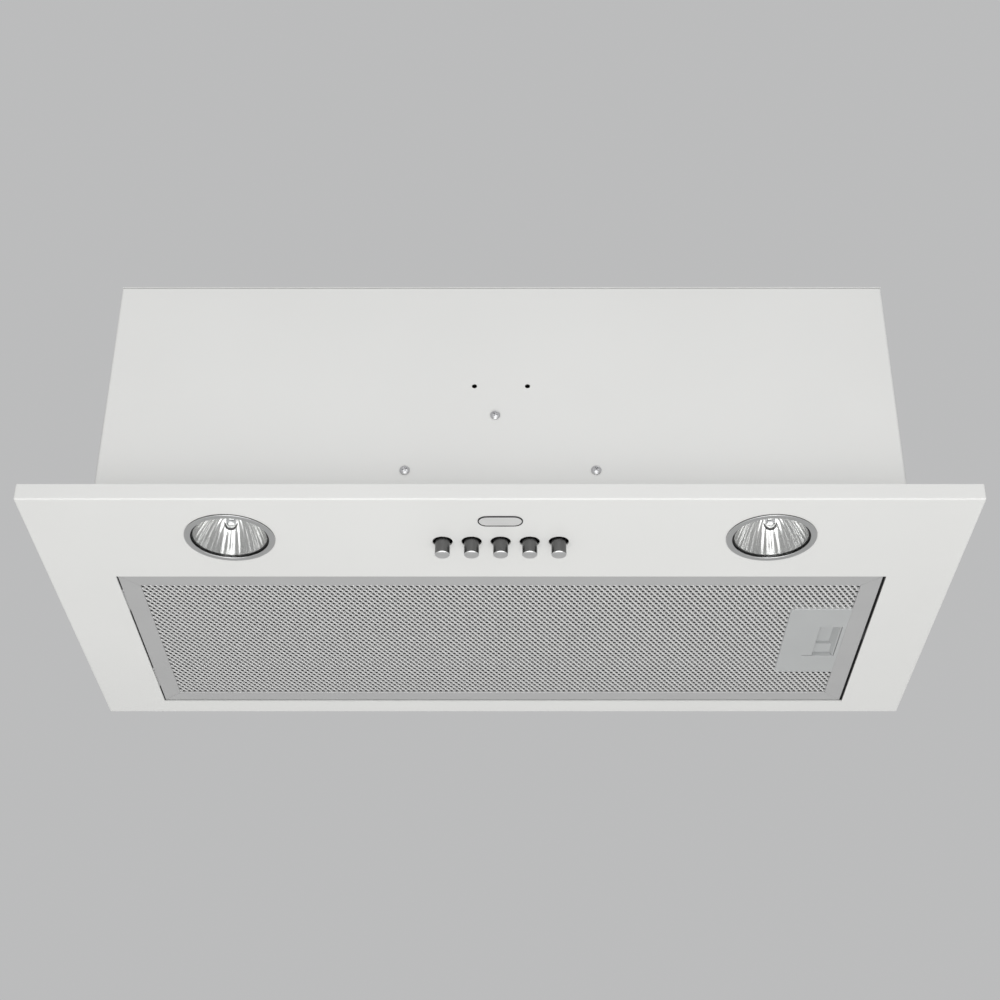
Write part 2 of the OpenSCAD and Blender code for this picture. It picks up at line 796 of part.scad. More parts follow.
// Extrudes a Y-Z outline along X, from x0 to x1
module along_x(x0, x1) {
    translate([x0, 0, 0]) rotate([90, 0, 90]) linear_extrude(height = x1 - x0) children();
}

// One half of the scroll, from its side plate to the middle
module scroll_half() {
    half = scroll_w / 2;
    difference() {
        union() {
            along_x(0, half + scroll_t) polygon(scroll_outline(scroll_t, top_under));
            box(0, half + scroll_t + scroll_ear, outlet_y0 - scroll_t, cutoff_y + scroll_t,
                top_under - scroll_ear_t, top_under);
        }
        along_x(-overcut, half) polygon(scroll_outline(0, top_under + overcut));
        translate([0, axis_y, axis_z]) rod_x(inlet_r, half - overcut, half + scroll_t + overcut);
        for (spot = blower_spots)
            translate([spot[0], spot[1], 0]) rod(screw_r, top_under - 5, top_under + overcut);
        for (a = arm_a)
            translate([0, axis_y + arm_r * cos(a), axis_z + arm_r * sin(a)])
                rod_x(screw_r, half - overcut, half + scroll_t + overcut);
    }
}

module scroll_right() {
    color("dimgray") scroll_half();
}

module scroll_left() {
    color("dimgray") mirror([1, 0, 0]) scroll_half();
}

module at_axis() {
    translate([0, axis_y, axis_z]) children();
}

// Squirrel-cage rotor: two rims and the blades between them
module impeller() {
    half = impeller_w / 2;
    rim = 2;
    ring_r = impeller_r - blade_d;
    color("black") at_axis() {
        for (x = [-half, half - rim])
            difference() {
                rod_x(impeller_r, x, x + rim);
                rod_x(ring_r, x - overcut, x + rim + overcut);
            }
        for (i = [0 : blades - 1])
            rotate([360 * i / blades, 0, 0]) translate([0, ring_r + 0.5, 0]) rotate([38, 0, 0])
                box(-half + 0.5, half - 0.5, 0, blade_d - 0.8, -0.5, 0.5);
    }
}

// Centre disc of the rotor, clinched between the blades' inner edges, with its hub
module impeller_disc() {
    color("black") at_axis() difference() {
        union() {
            rod_x(impeller_r - blade_d + 0.1, -1, 1);
            rod_x(hub_r, -hub_l, 0);
        }
        rod_x(shaft_r, -hub_l - overcut, overcut + 1);
    }
}

module motor_shaft() {
    color("silver") at_axis() rod_x(shaft_r, -hub_l, shaft_l - hub_l);
}

module motor_rotor() {
    x0 = motor_x0 + bearing_l + 3;
    x1 = motor_x0 + motor_l - bearing_l - 3;
    color("dimgray") at_axis() difference() {
        rod_x(motor_r * 0.5, x0, x1);
        rod_x(shaft_r, x0 - overcut, x1 + overcut);
    }
}

module motor_housing() {
    x0 = motor_x0;
    x1 = motor_x0 + motor_l;
    wall = 1.5;
    color("gray") at_axis() difference() {
        rod_x(motor_r, x0, x1);
        rod_x(motor_r - wall, x0 + bearing_l, x1 - bearing_l);
        rod_x(bearing_r, x0 + 1, x1 - 1);
        rod_x(shaft_r + 1, x0 - overcut, x1 + overcut);
    }
}

module motor_stator() {
    color("saddlebrown") at_axis() difference() {
        rod_x(motor_r - 1.5, motor_x0 + bearing_l + 2, motor_x0 + motor_l - bearing_l - 2);
        rod_x(motor_r * 0.5 + 0.6, motor_x0, motor_x0 + motor_l);
    }
}

module motor_bearings() {
    color("silver") at_axis()
        for (x = [motor_x0 + 1, motor_x0 + motor_l - bearing_l])
            difference() {
                rod_x(bearing_r, x, x + bearing_l - 1);
                rod_x(shaft_r + shaft_clear, x - overcut, x + bearing_l + overcut);
            }
}

module motor_bracket() {
    x0 = scroll_w / 2 + scroll_t + bracket_gap;
    motor_end = motor_x0 + motor_l;
    color("silver") at_axis() difference() {
        union() {
            rod_x(bearing_r + 6, motor_end, x0 + 1.5);
            for (a = arm_a)
                rotate([a, 0, 0]) box(x0, x0 + 1.5, 0, arm_r + 6, -6, 6);
        }
        rod_x(bearing_r + 4, motor_end - overcut, x0);
        rod_x(shaft_r + 2, x0 - overcut, x0 + 3);
        for (a = arm_a)
            rotate([a, 0, 0]) translate([0, arm_r, 0]) rod_x(screw_r, x0 - overcut, x0 + 3);
    }
}

module motor_grommets() {
    x0 = scroll_w / 2 + scroll_t;
    color("black") at_axis() for (a = arm_a)
        rotate([a, 0, 0]) translate([0, arm_r, 0]) difference() {
            rod_x(5, x0, x0 + bracket_gap);
            rod_x(screw_r, x0 - overcut, x0 + bracket_gap + overcut);
        }
}

module motor_screws() {
    x0 = scroll_w / 2 + scroll_t + bracket_gap + 1.5;
    color("silver") at_axis() for (a = arm_a)
        rotate([a, 0, 0]) translate([x0, arm_r, 0]) rotate([0, 90, 0]) screw(6);
}

// ---- Duct collar and damper ----

module duct_collar() {
    color("black") translate([0, duct_y, 0]) difference() {
        union() {
            rod(collar_flange, body_h, body_h + collar_base);
            rod(collar_r, body_h, body_h + collar_h);
            rod(collar_r + 2, body_h, body_h + collar_base + 3);
        }
        rod(duct_hole_r, body_h - overcut, body_h + collar_h + overcut);
        rod(collar_in, ledge_z, body_h + collar_h + overcut);
        for (a = [45 : 90 : 315])
            rotate([0, 0, a]) translate([collar_screw_r, 0, 0])
                rod(screw_r, body_h - overcut, body_h + 10);
        translate([0, 0, rod_z]) rod_x(rod_r, -collar_in - 0.8, collar_in + 0.8);
    }
}

module flap_rod() {
    color("silver") translate([0, duct_y, rod_z]) rod_x(rod_r, -collar_in - 0.8, collar_in + 0.8);
}

// Half-round flap on the +Y side of the rod, with two of the four knuckles
module flap() {
    r = collar_in - flap_gap;
    reach = knuckle_r + 0.4;
    difference() {
        union() {
            difference() {
                rod(r, -knuckle_r + 0.6, -knuckle_r + 0.6 + flap_t);
                box(-r - 1, r + 1, -r - 1, reach, -knuckle_r, knuckle_r);
            }
            for (x = [-2 * knuckle_l - 1, 1]) {
                rod_x(knuckle_r, x, x + knuckle_l - 1);
                box(x, x + knuckle_l - 1, 0, reach + tiny, -knuckle_r + 0.6,
                    -knuckle_r + 0.6 + flap_t);
            }
        }
        rod_x(rod_r + rod_clear, -r, r);
    }
}

module flap_rear() {
    color("dimgray") translate([0, duct_y, rod_z]) flap();
}

module flap_front() {
    color("dimgray") translate([0, duct_y, rod_z]) rotate([0, 0, 180]) flap();
}

// ---- Nodes ----

face_panel();
body_wrapper();
rear_panel();
top_panel();
filter_stops();
front_screws();
screws_at(top_spots, body_h);  // top_screws
screws_at(blower_spots, body_h);  // blower_screws
screws_at(collar_spots, body_h + collar_base);  // collar_screws
motor_screws();
for (side = LAMPS) {
    lamp_at(side) lamp_bezel();
    lamp_at(side) lamp_glass();
    lamp_at(side) lamp_reflector();
}
both_lamps() lamp_capsule();  // lamp_capsules
both_lamps() lamp_socket();  // lamp_sockets
both_lamps() lamp_can();  // lamp_cans
switch_bracket();
switch_body();
switch_terminals();
for (i = [1 : 5]) {
    button(i);
    button_spring(i);
}
terminal_box();
terminal_lid();
capacitor();
capacitor_clip();
cable_gland();
gland_nut();
filter_frame();
filter_mesh_lower();
filter_core();
filter_mesh_upper();
latch_housing();
latch_slider();
latch_spring();
scroll_left();
scroll_right();
impeller();
impeller_disc();
motor_shaft();
motor_rotor();
motor_housing();
motor_stator();
motor_bearings();
motor_bracket();
motor_grommets();
duct_collar();
flap_rod();
flap_front();
flap_rear();
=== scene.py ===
"""Looks of a built-in cooker hood, dressed around its packed construction model.

Every length is in metres in the construction model's own frame: the origin is the centre of the
cabinet cut-out, +X is to the right, the wall behind is at +Y and +Z is up.
"""
import logging
import math
from dataclasses import asdict, dataclass
from enum import Enum
from functools import lru_cache
from typing import Callable, Iterable, Mapping, Optional, Sequence, Union

import bmesh
import bpy
from mathutils import Matrix, Vector


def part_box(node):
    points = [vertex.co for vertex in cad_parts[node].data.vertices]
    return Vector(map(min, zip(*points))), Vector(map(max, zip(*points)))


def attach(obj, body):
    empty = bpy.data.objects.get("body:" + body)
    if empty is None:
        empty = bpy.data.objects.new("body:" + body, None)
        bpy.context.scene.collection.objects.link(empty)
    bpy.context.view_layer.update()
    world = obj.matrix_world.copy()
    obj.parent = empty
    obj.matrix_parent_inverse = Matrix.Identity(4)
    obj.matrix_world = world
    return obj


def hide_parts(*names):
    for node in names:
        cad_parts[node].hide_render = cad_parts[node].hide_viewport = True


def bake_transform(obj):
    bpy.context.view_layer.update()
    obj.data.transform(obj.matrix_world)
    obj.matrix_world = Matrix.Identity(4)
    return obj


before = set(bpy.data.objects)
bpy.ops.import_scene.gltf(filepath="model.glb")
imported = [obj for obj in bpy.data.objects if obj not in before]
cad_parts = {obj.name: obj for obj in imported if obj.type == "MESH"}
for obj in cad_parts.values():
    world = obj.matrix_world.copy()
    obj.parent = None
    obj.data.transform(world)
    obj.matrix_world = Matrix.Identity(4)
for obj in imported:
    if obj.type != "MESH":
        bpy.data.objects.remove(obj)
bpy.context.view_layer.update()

LOG = logging.getLogger("hood")
MM = 0.001
HAIR = 0.01 * MM  # what counts as no distance at all
TURN = 2 * math.pi
Point = Sequence[float]
Colour = tuple[float, float, float]
Value = Union[float, Sequence[float], "Wire"]


# ---- Shader graphs ----


class Wire:
    """A shader socket that Python's arithmetic works on."""

    def __init__(self, graph: "Graph", socket: bpy.types.NodeSocket) -> None:
        """Keeps a socket and its graph."""
        self.graph = graph
        self.socket = socket

    def maths(self, operation: str, first: Value, second: Value = 0.0) -> "Wire":
        """Adds a Math node."""
        return self.graph.node("ShaderNodeMath", {"operation": operation}, {0: first, 1: second})

    def __add__(self, other: Value) -> "Wire":
        """Adds."""
        return self.maths("ADD", self, other)

    def __sub__(self, other: Value) -> "Wire":
        """Subtracts."""
        return self.maths("SUBTRACT", self, other)

    def __mul__(self, other: Value) -> "Wire":
        """Multiplies."""
        return self.maths("MULTIPLY", self, other)

    def __abs__(self) -> "Wire":
        """Drops the sign."""
        return self.maths("ABSOLUTE", self)

    def sine(self) -> "Wire":
        """Takes the sine."""
        return self.maths("SINE", self)

    def clipped(self, low: float, high: float) -> "Wire":
        """Stretches the range from low to high over 0 to 1 and clips the rest."""
        sockets = {"Value": self, "From Min": low, "From Max": high}
        return self.graph.node("ShaderNodeMapRange", {"clamp": True}, sockets)


class Axis(Enum):
    """The direction that a pattern is drawn along, or turned about."""

    X = (1.0, 0.0, 0.0)
    Y = (0.0, 1.0, 0.0)
    Z = (0.0, 0.0, 1.0)


class Graph:
    """The node graph of one material around its Principled shader."""

    def __init__(self, name: str) -> None:
        """Makes an empty material.

        Args:
            name: The material's name.
        """
        self.material = bpy.data.materials.new(name)
        self.material.use_nodes = True
        self.tree = self.material.node_tree
        self.shader = self.tree.nodes["Principled BSDF"]

    def node(
        self,
        kind: str,
        settings: Optional[Mapping[str, object]] = None,
        sockets: Optional[Mapping[Union[int, str], Value]] = None,
        output: int = 0,
    ) -> Wire:
        """Adds a node of any type.

        Args:
            kind: The node's type.
            settings: The node's own settings. They are set first.
            sockets: Values or wires for its input sockets.
            output: Which output the result comes from.

        Returns:
            The chosen output.
        """
        made = self.tree.nodes.new(kind)
        for key, value in (settings or {}).items():
            setattr(made, key, value)
        for key, value in (sockets or {}).items():
            self.feed(made.inputs[key], value)
        return Wire(self, made.outputs[output])

    def feed(self, socket: bpy.types.NodeSocket, value: Value) -> None:
        """Links a wire to a socket, or sets the socket's own value."""
        if isinstance(value, Wire):
            self.tree.links.new(value.socket, socket)
        else:
            socket.default_value = value

    def place(self, centre: Point = (0, 0, 0), scale: Point = (1, 1, 1)) -> Wire:
        """Gives object coordinates, centred and stretched.

        Args:
            centre: The point that becomes the pattern's origin.
            scale: How much finer the pattern gets along each axis.

        Returns:
            The coordinates.
        """
        spot = self.node("ShaderNodeTexCoord", output=3)
        moved = self.node(
            "ShaderNodeVectorMath", {"operation": "SUBTRACT"}, {0: spot, 1: tuple(centre)}
        )
        return self.node(
            "ShaderNodeVectorMath", {"operation": "MULTIPLY"}, {0: moved, 1: tuple(scale)}
        )

    def noise(self, size: float, detail: float = 2.0, stretch: Point = (1, 1, 1)) -> Wire:
        """Gives soft noise from 0 to 1."""
        sockets = {"Vector": self.place(scale=stretch), "Scale": 1 / size, "Detail": detail}
        return self.node("ShaderNodeTexNoise", {}, sockets)

    def cells(self, size: float) -> Wire:
        """Gives a random shade for each crystal-like cell."""
        tone = self.node(
            "ShaderNodeTexVoronoi", {}, {"Vector": self.place(), "Scale": 1 / size}, output=1
        )
        return self.node("ShaderNodeRGBToBW", {}, {0: tone})

    def rings(self, centre: Point, axis: Axis, pitch: float) -> Wire:
        """Gives concentric tool marks about an axis.

        Args:
            centre: A point on the axis.
            axis: The axis that the marks go round.
            pitch: The distance from mark to mark.

        Returns:
            A wave from 0 to 1.
        """
        flat = tuple(1.0 - part for part in axis.value)
        radius = self.node(
            "ShaderNodeVectorMath", {"operation": "LENGTH"}, {0: self.place(centre, flat)}, output=1
        )
        return (radius * (TURN / pitch)).sine() * 0.5 + 0.5

    def mix(self, share: Value, first: Value, second: Value) -> Wire:
        """Blends two colours."""
        sockets = {0: share, 6: first, 7: second}
        return self.node("ShaderNodeMix", {"data_type": "RGBA"}, sockets, output=2)

    def part(self, axis: int) -> Wire:
        """Gives one of the object coordinates."""
        return self.node("ShaderNodeSeparateXYZ", {}, {0: self.place()}, output=axis)

    def bump(self, height: Wire, depth: float) -> None:
        """Gives the shader its relief."""
        normal = self.node("ShaderNodeBump", {}, {"Height": height, "Distance": depth})
        self.feed(self.shader.inputs["Normal"], normal)


# ---- Finishes ----


@dataclass(frozen=True)
class Finish:
    """A finish with fine grain and a slight unevenness of colour and gloss.

    Attributes:
        name: The material's name.
        slot: The record's material slot. It is not used.
        colour: The base colour.
        roughness: The mean roughness.
        metallic: How metallic it is.
        mottle: The share by which the colour varies.
        mottle_size: The size of the colour's patches.
        spread: How much the roughness varies.
        grain: The size of the grain.
        depth: The depth of the grain.
        stretch: How much finer the grain is along each axis.
        coat: The weight of a clear coat.
    """

    name: str
    slot: str
    colour: Colour
    roughness: float = 0.5
    metallic: float = 0.0
    mottle: float = 0.05
    mottle_size: float = 0.03
    spread: float = 0.08
    grain: float = 0.9 * MM
    depth: float = 0.02 * MM
    stretch: tuple[float, float, float] = (1.0, 1.0, 1.0)
    coat: float = 0.0

    def shade(self, graph: Graph) -> Value:
        """Gives the base colour.

        Args:
            graph: The material's graph.

        Returns:
            The colour over the surface.
        """
        low = (*(part * (1 - self.mottle) for part in self.colour), 1.0)
        high = (*(min(part * (1 + self.mottle), 1.0) for part in self.colour), 1.0)
        patches = graph.noise(self.mottle_size, 3.0).clipped(0.3, 0.7)
        return graph.mix(patches, low, high)

    def relief(self, graph: Graph) -> Wire:
        """Gives the height of the grain."""
        return graph.noise(self.grain, 3.0, self.stretch)

    def settle(self, graph: Graph) -> None:
        """Sets what is the same all over the surface."""
        graph.shader.inputs["Metallic"].default_value = self.metallic
        graph.shader.inputs["Coat Weight"].default_value = self.coat

    def material(self) -> bpy.types.Material:
        """Returns the finish's material, made once."""
        return material_of(self)


@lru_cache(maxsize=None)
def material_of(finish: Finish) -> bpy.types.Material:
    """Makes a finish's material.

    Args:
        finish: The finish.

    Returns:
        The material.
    """
    graph = Graph(finish.name)
    finish.settle(graph)
    relief = finish.relief(graph)
    graph.feed(graph.shader.inputs["Base Color"], finish.shade(graph))
    rough = relief * finish.spread + (finish.roughness - finish.spread / 2)
    graph.feed(graph.shader.inputs["Roughness"], rough)
    graph.bump(relief, finish.depth)
    return graph.material


@dataclass(frozen=True)
class Galvanised(Finish):
    """Zinc-coated sheet with its crystal spangle.

    Attributes:
        spangle: The size of a crystal.
    """

    spangle: float = 6 * MM

    def shade(self, graph: Graph) -> Value:
        """Gives each crystal its own grey.

        Args:
            graph: The material's graph.

        Returns:
            The colour over the surface.
        """
        dark = (*(part * 0.82 for part in self.colour), 1.0)
        light = (*(min(part * 1.12, 1.0) for part in self.colour), 1.0)
        return graph.mix(graph.cells(self.spangle), dark, light)


@dataclass(frozen=True)
class Turned(Finish):
    """Metal turned on a lathe, with fine marks round its axis.

    Attributes:
        centre: A point on the axis.
        axis: The axis.
        pitch: The distance from mark to mark.
    """

    centre: tuple[float, float, float] = (0.0, 0.0, 0.0)
    axis: Axis = Axis.Z
    pitch: float = 0.55 * MM

    def relief(self, graph: Graph) -> Wire:
        """Gives the height of the tool marks."""
        marks = graph.rings(self.centre, self.axis, self.pitch)
        return marks * 0.8 + graph.noise(self.grain, 2.0) * 0.2


@dataclass(frozen=True)
class PaintedDarkSide(Turned):
    """Turned metal whose side carries a painted dark reflection above its bright end.

    Attributes:
        end: The height of the end's edge.
        side: The colour of the painted dark reflection above that height.
    """

    end: float = 0.0
    side: Colour = (0.16, 0.16, 0.16)

    def shade(self, graph: Graph) -> Value:
        """Gives the bright end and the side's painted dark reflection."""
        share = graph.part(2).clipped(self.end, self.end + 0.06 * MM)
        return graph.mix(share, super().shade(graph), (*self.side, 1.0))


@dataclass(frozen=True)
class Clear(Finish):
    """Clear glass with a trace of grime."""

    def settle(self, graph: Graph) -> None:
        """Makes the surface transmit light.

        Args:
            graph: The material's graph.
        """
        super().settle(graph)
        graph.shader.inputs["Transmission Weight"].default_value = 1.0
        graph.shader.inputs["IOR"].default_value = 1.45


@dataclass(frozen=True)
class PaintedDepthShade(Finish):
    """A finish with painted shade where a surface lies deep, as between a sheet's raised strands.

    Attributes:
        top: The height where the painted shade starts.
        bottom: The height of the darkest part.
        dark: The colour of the painted shade down there.
    """

    top: float = 0.0
    bottom: float = MM
    dark: Colour = (0.2, 0.2, 0.2)

    def shade(self, graph: Graph) -> Value:
        """Blends the lit colour into the painted shade by height."""
        share = graph.part(2).clipped(self.top, self.bottom)
        return graph.mix(share, super().shade(graph), (*self.dark, 1.0))


@dataclass(frozen=True)
class PaintedInsideShade(Finish):
    """A coat on the outside of a box, with near-black painted shade over its inside.

    Attributes:
        centre: The box's middle, in x and y.
        half: The half width and half depth of its inside.
        inside_shade: The near-black colour of the painted shade inside.
    """

    centre: tuple[float, float] = (0.0, 0.0)
    half: tuple[float, float] = (1.0, 1.0)
    inside_shade: Colour = (0.07, 0.07, 0.07)

    def shade(self, graph: Graph) -> Value:
        """Gives the coat outside and the painted shade inside.

        Args:
            graph: The material's graph.

        Returns:
            The colour over the surface.
        """
        inside: Value = 1.0
        for axis, (middle_at, half) in enumerate(zip(self.centre, self.half)):
            inside = abs(graph.part(axis) - middle_at).clipped(half, half - 0.1 * MM) * inside
        return graph.mix(inside, super().shade(graph), (*self.inside_shade, 1.0))


ENAMEL = Finish(
    "satin_enamel", "white_enamel", (0.79, 0.79, 0.775), 0.38, mottle=0.012, mottle_size=0.12,
    spread=0.05, grain=0.7 * MM, depth=0.008 * MM,
)
ZINC_SHEET = Galvanised("galvanised_sheet", "galvanised", (0.52, 0.53, 0.54), 0.42, 0.9)
SCREW_ZINC = Finish(
    "bright_zinc", "screw_zinc", (0.68, 0.68, 0.69), 0.36, 1.0, grain=0.5 * MM, depth=HAIR
)
CERAMIC = Finish("white_ceramic", "ceramic", (0.78, 0.75, 0.68), 0.35, coat=0.3)
BLACK_MOULDING = Finish(
    "black_moulding", "black_plastic", (0.022, 0.022, 0.023), 0.48, mottle=0.15, depth=0.03 * MM
)
BRASS = Finish("plain_brass", "brass_contacts", (0.72, 0.52, 0.23), 0.3, 1.0)
SPRING_STEEL = Finish("spring_steel", "spring_steel", (0.5, 0.5, 0.51), 0.3, 1.0)
CAPACITOR_CASE = Finish("capacitor_case", "capacitor_case", (0.74, 0.74, 0.72), 0.4, coat=0.2)
BLOWER_GREY = Finish(
    "blower_moulding", "blower_grey", (0.2, 0.205, 0.21), 0.5, mottle=0.06, depth=0.04 * MM
)
IMPELLER_BLACK = Finish("impeller_moulding", "impeller_black", (0.03, 0.03, 0.032), 0.45)
MOTOR_STEEL = Finish(
    "motor_lamination", "motor_steel", (0.42, 0.42, 0.43), 0.4, 0.95, stretch=(14.0, 1.0, 1.0)
)
RUBBER = Finish("grommet_rubber", "rubber", (0.025, 0.025, 0.025), 0.7, depth=0.05 * MM)
BORDER = Finish(
    "anodised_border", "filter_border", (0.53, 0.53, 0.53), 0.45, 0.3, mottle=0.02,
    grain=0.25 * MM, depth=0.006 * MM, stretch=(1.0, 6.0, 1.0),
)
LATCH_GREY = Finish(
    "latch_moulding", "latch_grey", (0.465, 0.475, 0.475), 0.5, mottle=0.02, grain=0.4 * MM,
    depth=0.012 * MM,
)
# The aluminium core is painted near-black: painted shade, as it lies deep behind the sheets.
CORE_IN_PAINTED_SHADE = Finish("filter_core_painted_shade", "filter_mesh", (0.035, 0.035, 0.035), 0.6, 0.6, depth=0.05 * MM)
GLASS = Clear("lamp_glass", "lamp_glass", (0.97, 0.98, 0.98), 0.03, spread=0.03, depth=0.002 * MM)
MIRROR = Finish(
    "mirror_coat", "reflector", (0.9, 0.9, 0.89), 0.22, 1.0, mottle=0.05, spread=0.08,
    grain=1.2 * MM, depth=0.03 * MM,
)
BADGE_FACE = Finish(
    "badge_face", "screw_zinc", (0.74, 0.74, 0.73), 0.3, 0.25, grain=0.25 * MM, depth=0.004 * MM
)


# ---- Shaping ----


class Form:
    """A bmesh that is being shaped into one piece."""

    def __init__(self) -> None:
        """Starts with nothing."""
        self.mesh = bmesh.new()

    @classmethod
    def from_node(cls, node: str) -> "Form":
        """Starts from a merged copy of a construction node.

        Args:
            node: The node's name.

        Returns:
            The form, with its flat faces whole again.
        """
        form = cls()
        form.mesh.from_mesh(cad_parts[node].data)
        bmesh.ops.remove_doubles(form.mesh, verts=form.mesh.verts, dist=0.002 * MM)
        bmesh.ops.dissolve_limit(
            form.mesh, angle_limit=math.radians(0.5), verts=form.mesh.verts, edges=form.mesh.edges
        )
        return form

    def box(self, low: Point, high: Point) -> list[bmesh.types.BMVert]:
        """Adds a box between two corners.

        Args:
            low: Its lowest corner.
            high: Its highest corner.

        Returns:
            The box's vertices.
        """
        size = Vector(high) - Vector(low)
        matrix = Matrix.Translation((Vector(low) + Vector(high)) / 2) @ Matrix.Diagonal((*size, 1))
        return bmesh.ops.create_cube(self.mesh, size=1, matrix=matrix)["verts"]

    def lathe(self, outline: Sequence[Point], steps: int = 72, closed: bool = True) -> None:
        """Turns an outline of (radius, height) points about the Z axis.

        Args:
            outline: The points, with the axis at radius 0.
            steps: How many segments the turn has.
            closed: Whether the last point joins the first.
        """
        verts = [self.mesh.verts.new((r, 0, z)) for r, z in outline]
        pairs = list(zip(verts, verts[1:])) + ([(verts[-1], verts[0])] if closed else [])
        edges = [self.mesh.edges.new(pair) for pair in pairs]
        bmesh.ops.spin(
            self.mesh, geom=verts + edges, cent=(0, 0, 0), axis=(0, 0, 1), dvec=(0, 0, 0),
            angle=TURN, steps=steps, use_merge=True, use_duplicate=False,
        )
        self.tidy()

    def tidy(self) -> None:
        """Merges doubles and turns every face outward."""
        bmesh.ops.remove_doubles(self.mesh, verts=self.mesh.verts, dist=0.0005 * MM)
        bmesh.ops.recalc_face_normals(self.mesh, faces=self.mesh.faces)

    def face_down(self) -> None:
        """Turns an open sheet over if it faces up."""
        self.mesh.normal_update()
        if sum(face.normal.z for face in self.mesh.faces) > 0:
            bmesh.ops.reverse_faces(self.mesh, faces=self.mesh.faces)

    def rod(self, radius: float, low: float, high: float, steps: int) -> None:
        """Adds an upright rod on the Z axis."""
        self.lathe([(0, low), (radius, low), (radius, high), (0, high)], steps, closed=False)

    def flat(self, points: Sequence[Point]) -> bmesh.types.BMFace:
        """Adds one flat face through points."""
        return self.mesh.faces.new([self.mesh.verts.new(point) for point in points])

    def push(self, faces: Sequence[bmesh.types.BMFace], offset: Point) -> None:
        """Extrudes faces, and keeps the old ones as the other end."""
        made = bmesh.ops.extrude_face_region(self.mesh, geom=list(faces))["geom"]
        verts = [item for item in made if isinstance(item, bmesh.types.BMVert)]
        bmesh.ops.translate(self.mesh, vec=offset, verts=verts)

    def loop(self, points: Sequence[Point]) -> list[bmesh.types.BMEdge]:
        """Adds a closed loop of edges."""
        verts = [self.mesh.verts.new(point) for point in points]
        return [self.mesh.edges.new((a, b)) for a, b in zip(verts, verts[1:] + verts[:1])]

    def ring(self, inner: Sequence[Point], outer: Sequence[Point]) -> list[bmesh.types.BMEdge]:
        """Adds a flat ring between two loops with as many points each.

        Args:
            inner: The inner loop's points.
            outer: The outer loop's points.

        Returns:
            The outer loop's edges.
        """
        inside, outside = self.loop(inner), self.loop(outer)
        bmesh.ops.bridge_loops(self.mesh, edges=inside + outside)
        return outside

    def fill(self, edges: Sequence[bmesh.types.BMEdge]) -> None:
        """Fills the flat area between loops."""
        bmesh.ops.triangle_fill(self.mesh, use_beauty=True, use_dissolve=False, edges=list(edges))

    def edges_where(
        self, wanted: Callable[[Vector, Vector], bool], sharp: float = 30.0
    ) -> list[bmesh.types.BMEdge]:
        """Finds sharp edges by where their ends are.

        Args:
            wanted: The test on an edge's two ends.
            sharp: The least angle between its faces, in degrees.

        Returns:
            The edges that pass.
        """
        return [
            edge
            for edge in self.mesh.edges
            if len(edge.link_faces) == 2
            and edge.calc_face_angle(0.0) > math.radians(sharp)
            and wanted(edge.verts[0].co, edge.verts[1].co)
        ]

    def round(self, edges: Iterable[bmesh.types.BMEdge], radius: float, segments: int = 2) -> None:
        """Rounds edges."""
        bmesh.ops.bevel(
            self.mesh, geom=list(edges), offset=radius, offset_type="OFFSET", affect="EDGES",
            segments=segments, profile=0.5, material=-1, clamp_overlap=True,
        )

    def soften(self, radius: float, segments: int = 2, sharp: float = 40.0) -> "Form":
        """Rounds every sharp edge."""
        self.round(self.edges_where(lambda a, b: True, sharp), radius, segments)
        return self

    def move(self, offset: Point) -> "Form":
        """Moves the whole form."""
        bmesh.ops.translate(self.mesh, vec=Vector(offset), verts=self.mesh.verts)
        return self

    def turn(self, angle: float, axis: Axis, centre: Point = (0, 0, 0)) -> "Form":
        """Turns the whole form.

        Args:
            angle: The angle in degrees.
            axis: The axis's direction.
            centre: A point on the axis.

        Returns:
            The form itself.
        """
        matrix = Matrix.Rotation(math.radians(angle), 3, Vector(axis.value))
        bmesh.ops.rotate(self.mesh, cent=Vector(centre), matrix=matrix, verts=self.mesh.verts)
        return self

    def add(self, other: "Form") -> "Form":
        """Takes in a copy of another form.

        Args:
            other: The other form.

        Returns:
            The form itself.
        """
        data = bpy.data.meshes.new("copy")
        other.mesh.to_mesh(data)
        self.mesh.from_mesh(data)
        bpy.data.meshes.remove(data)
        return self

    def piece(
        self,
        name: str,
        finish: Finish,
        body: str = "hood",
        replaces: Sequence[str] = (),
        smooth: float = 35.0,
        level: bool = True,
        bend: Optional[tuple[str, Point, Point]] = None,
    ) -> bpy.types.Object:
        """Makes the form a finished piece that rides on a body.

        Args:
            name: The piece's name.
            finish: Its finish.
            body: The body that it rides on.
            replaces: The construction nodes that it stands for.
            smooth: Edges under this angle, in degrees, are shaded smooth.
            level: Whether its flat faces are kept flat in the shading.
            bend: A second body and where the change starts and ends; when given, the piece is only
                baked in place and rides on no body.

        Returns:
            The piece's object.
        """
        for face in self.mesh.faces:
            face.smooth = True
        for edge in self.mesh.edges:
            edge.smooth = edge.calc_face_angle(0.0) < math.radians(smooth)
        data = bpy.data.meshes.new(name)
        self.mesh.to_mesh(data)
        self.mesh.free()
        made = bpy.data.objects.new(name, data)
        bpy.context.scene.collection.objects.link(made)
        data.materials.append(finish.material())
        if bend is None:
            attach(made, body)
        else:
            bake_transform(made)
        if replaces:
            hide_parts(*replaces)
        if level:
            weigh(made)
        LOG.info("%s: %d faces, on %s", name, len(data.polygons), body)
        return made


def weigh(made: bpy.types.Object) -> None:
    """Weighs a piece's normals by face area, so that flat faces beside a round look flat."""
    normals = made.modifiers.new("normals", "WEIGHTED_NORMAL")
    normals.keep_sharp = True


def spring(node: str, still: str, moved: str, start: Point, end: Point) -> None:
    """Rebuilds a coil spring's node as a piece, baked in place."""
    Form.from_node(node).piece(
        f"{node}_coil", SPRING_STEEL, still, [node], 80, bend=(moved, start, end)
    )


def circle(centre: Point, radius: float, z: float, steps: int = 32) -> list[Point]:
    """Gives the points of a level circle."""
    turns = [TURN * i / steps for i in range(steps)]
    return [(centre[0] + radius * math.cos(a), centre[1] + radius * math.sin(a), z) for a in turns]


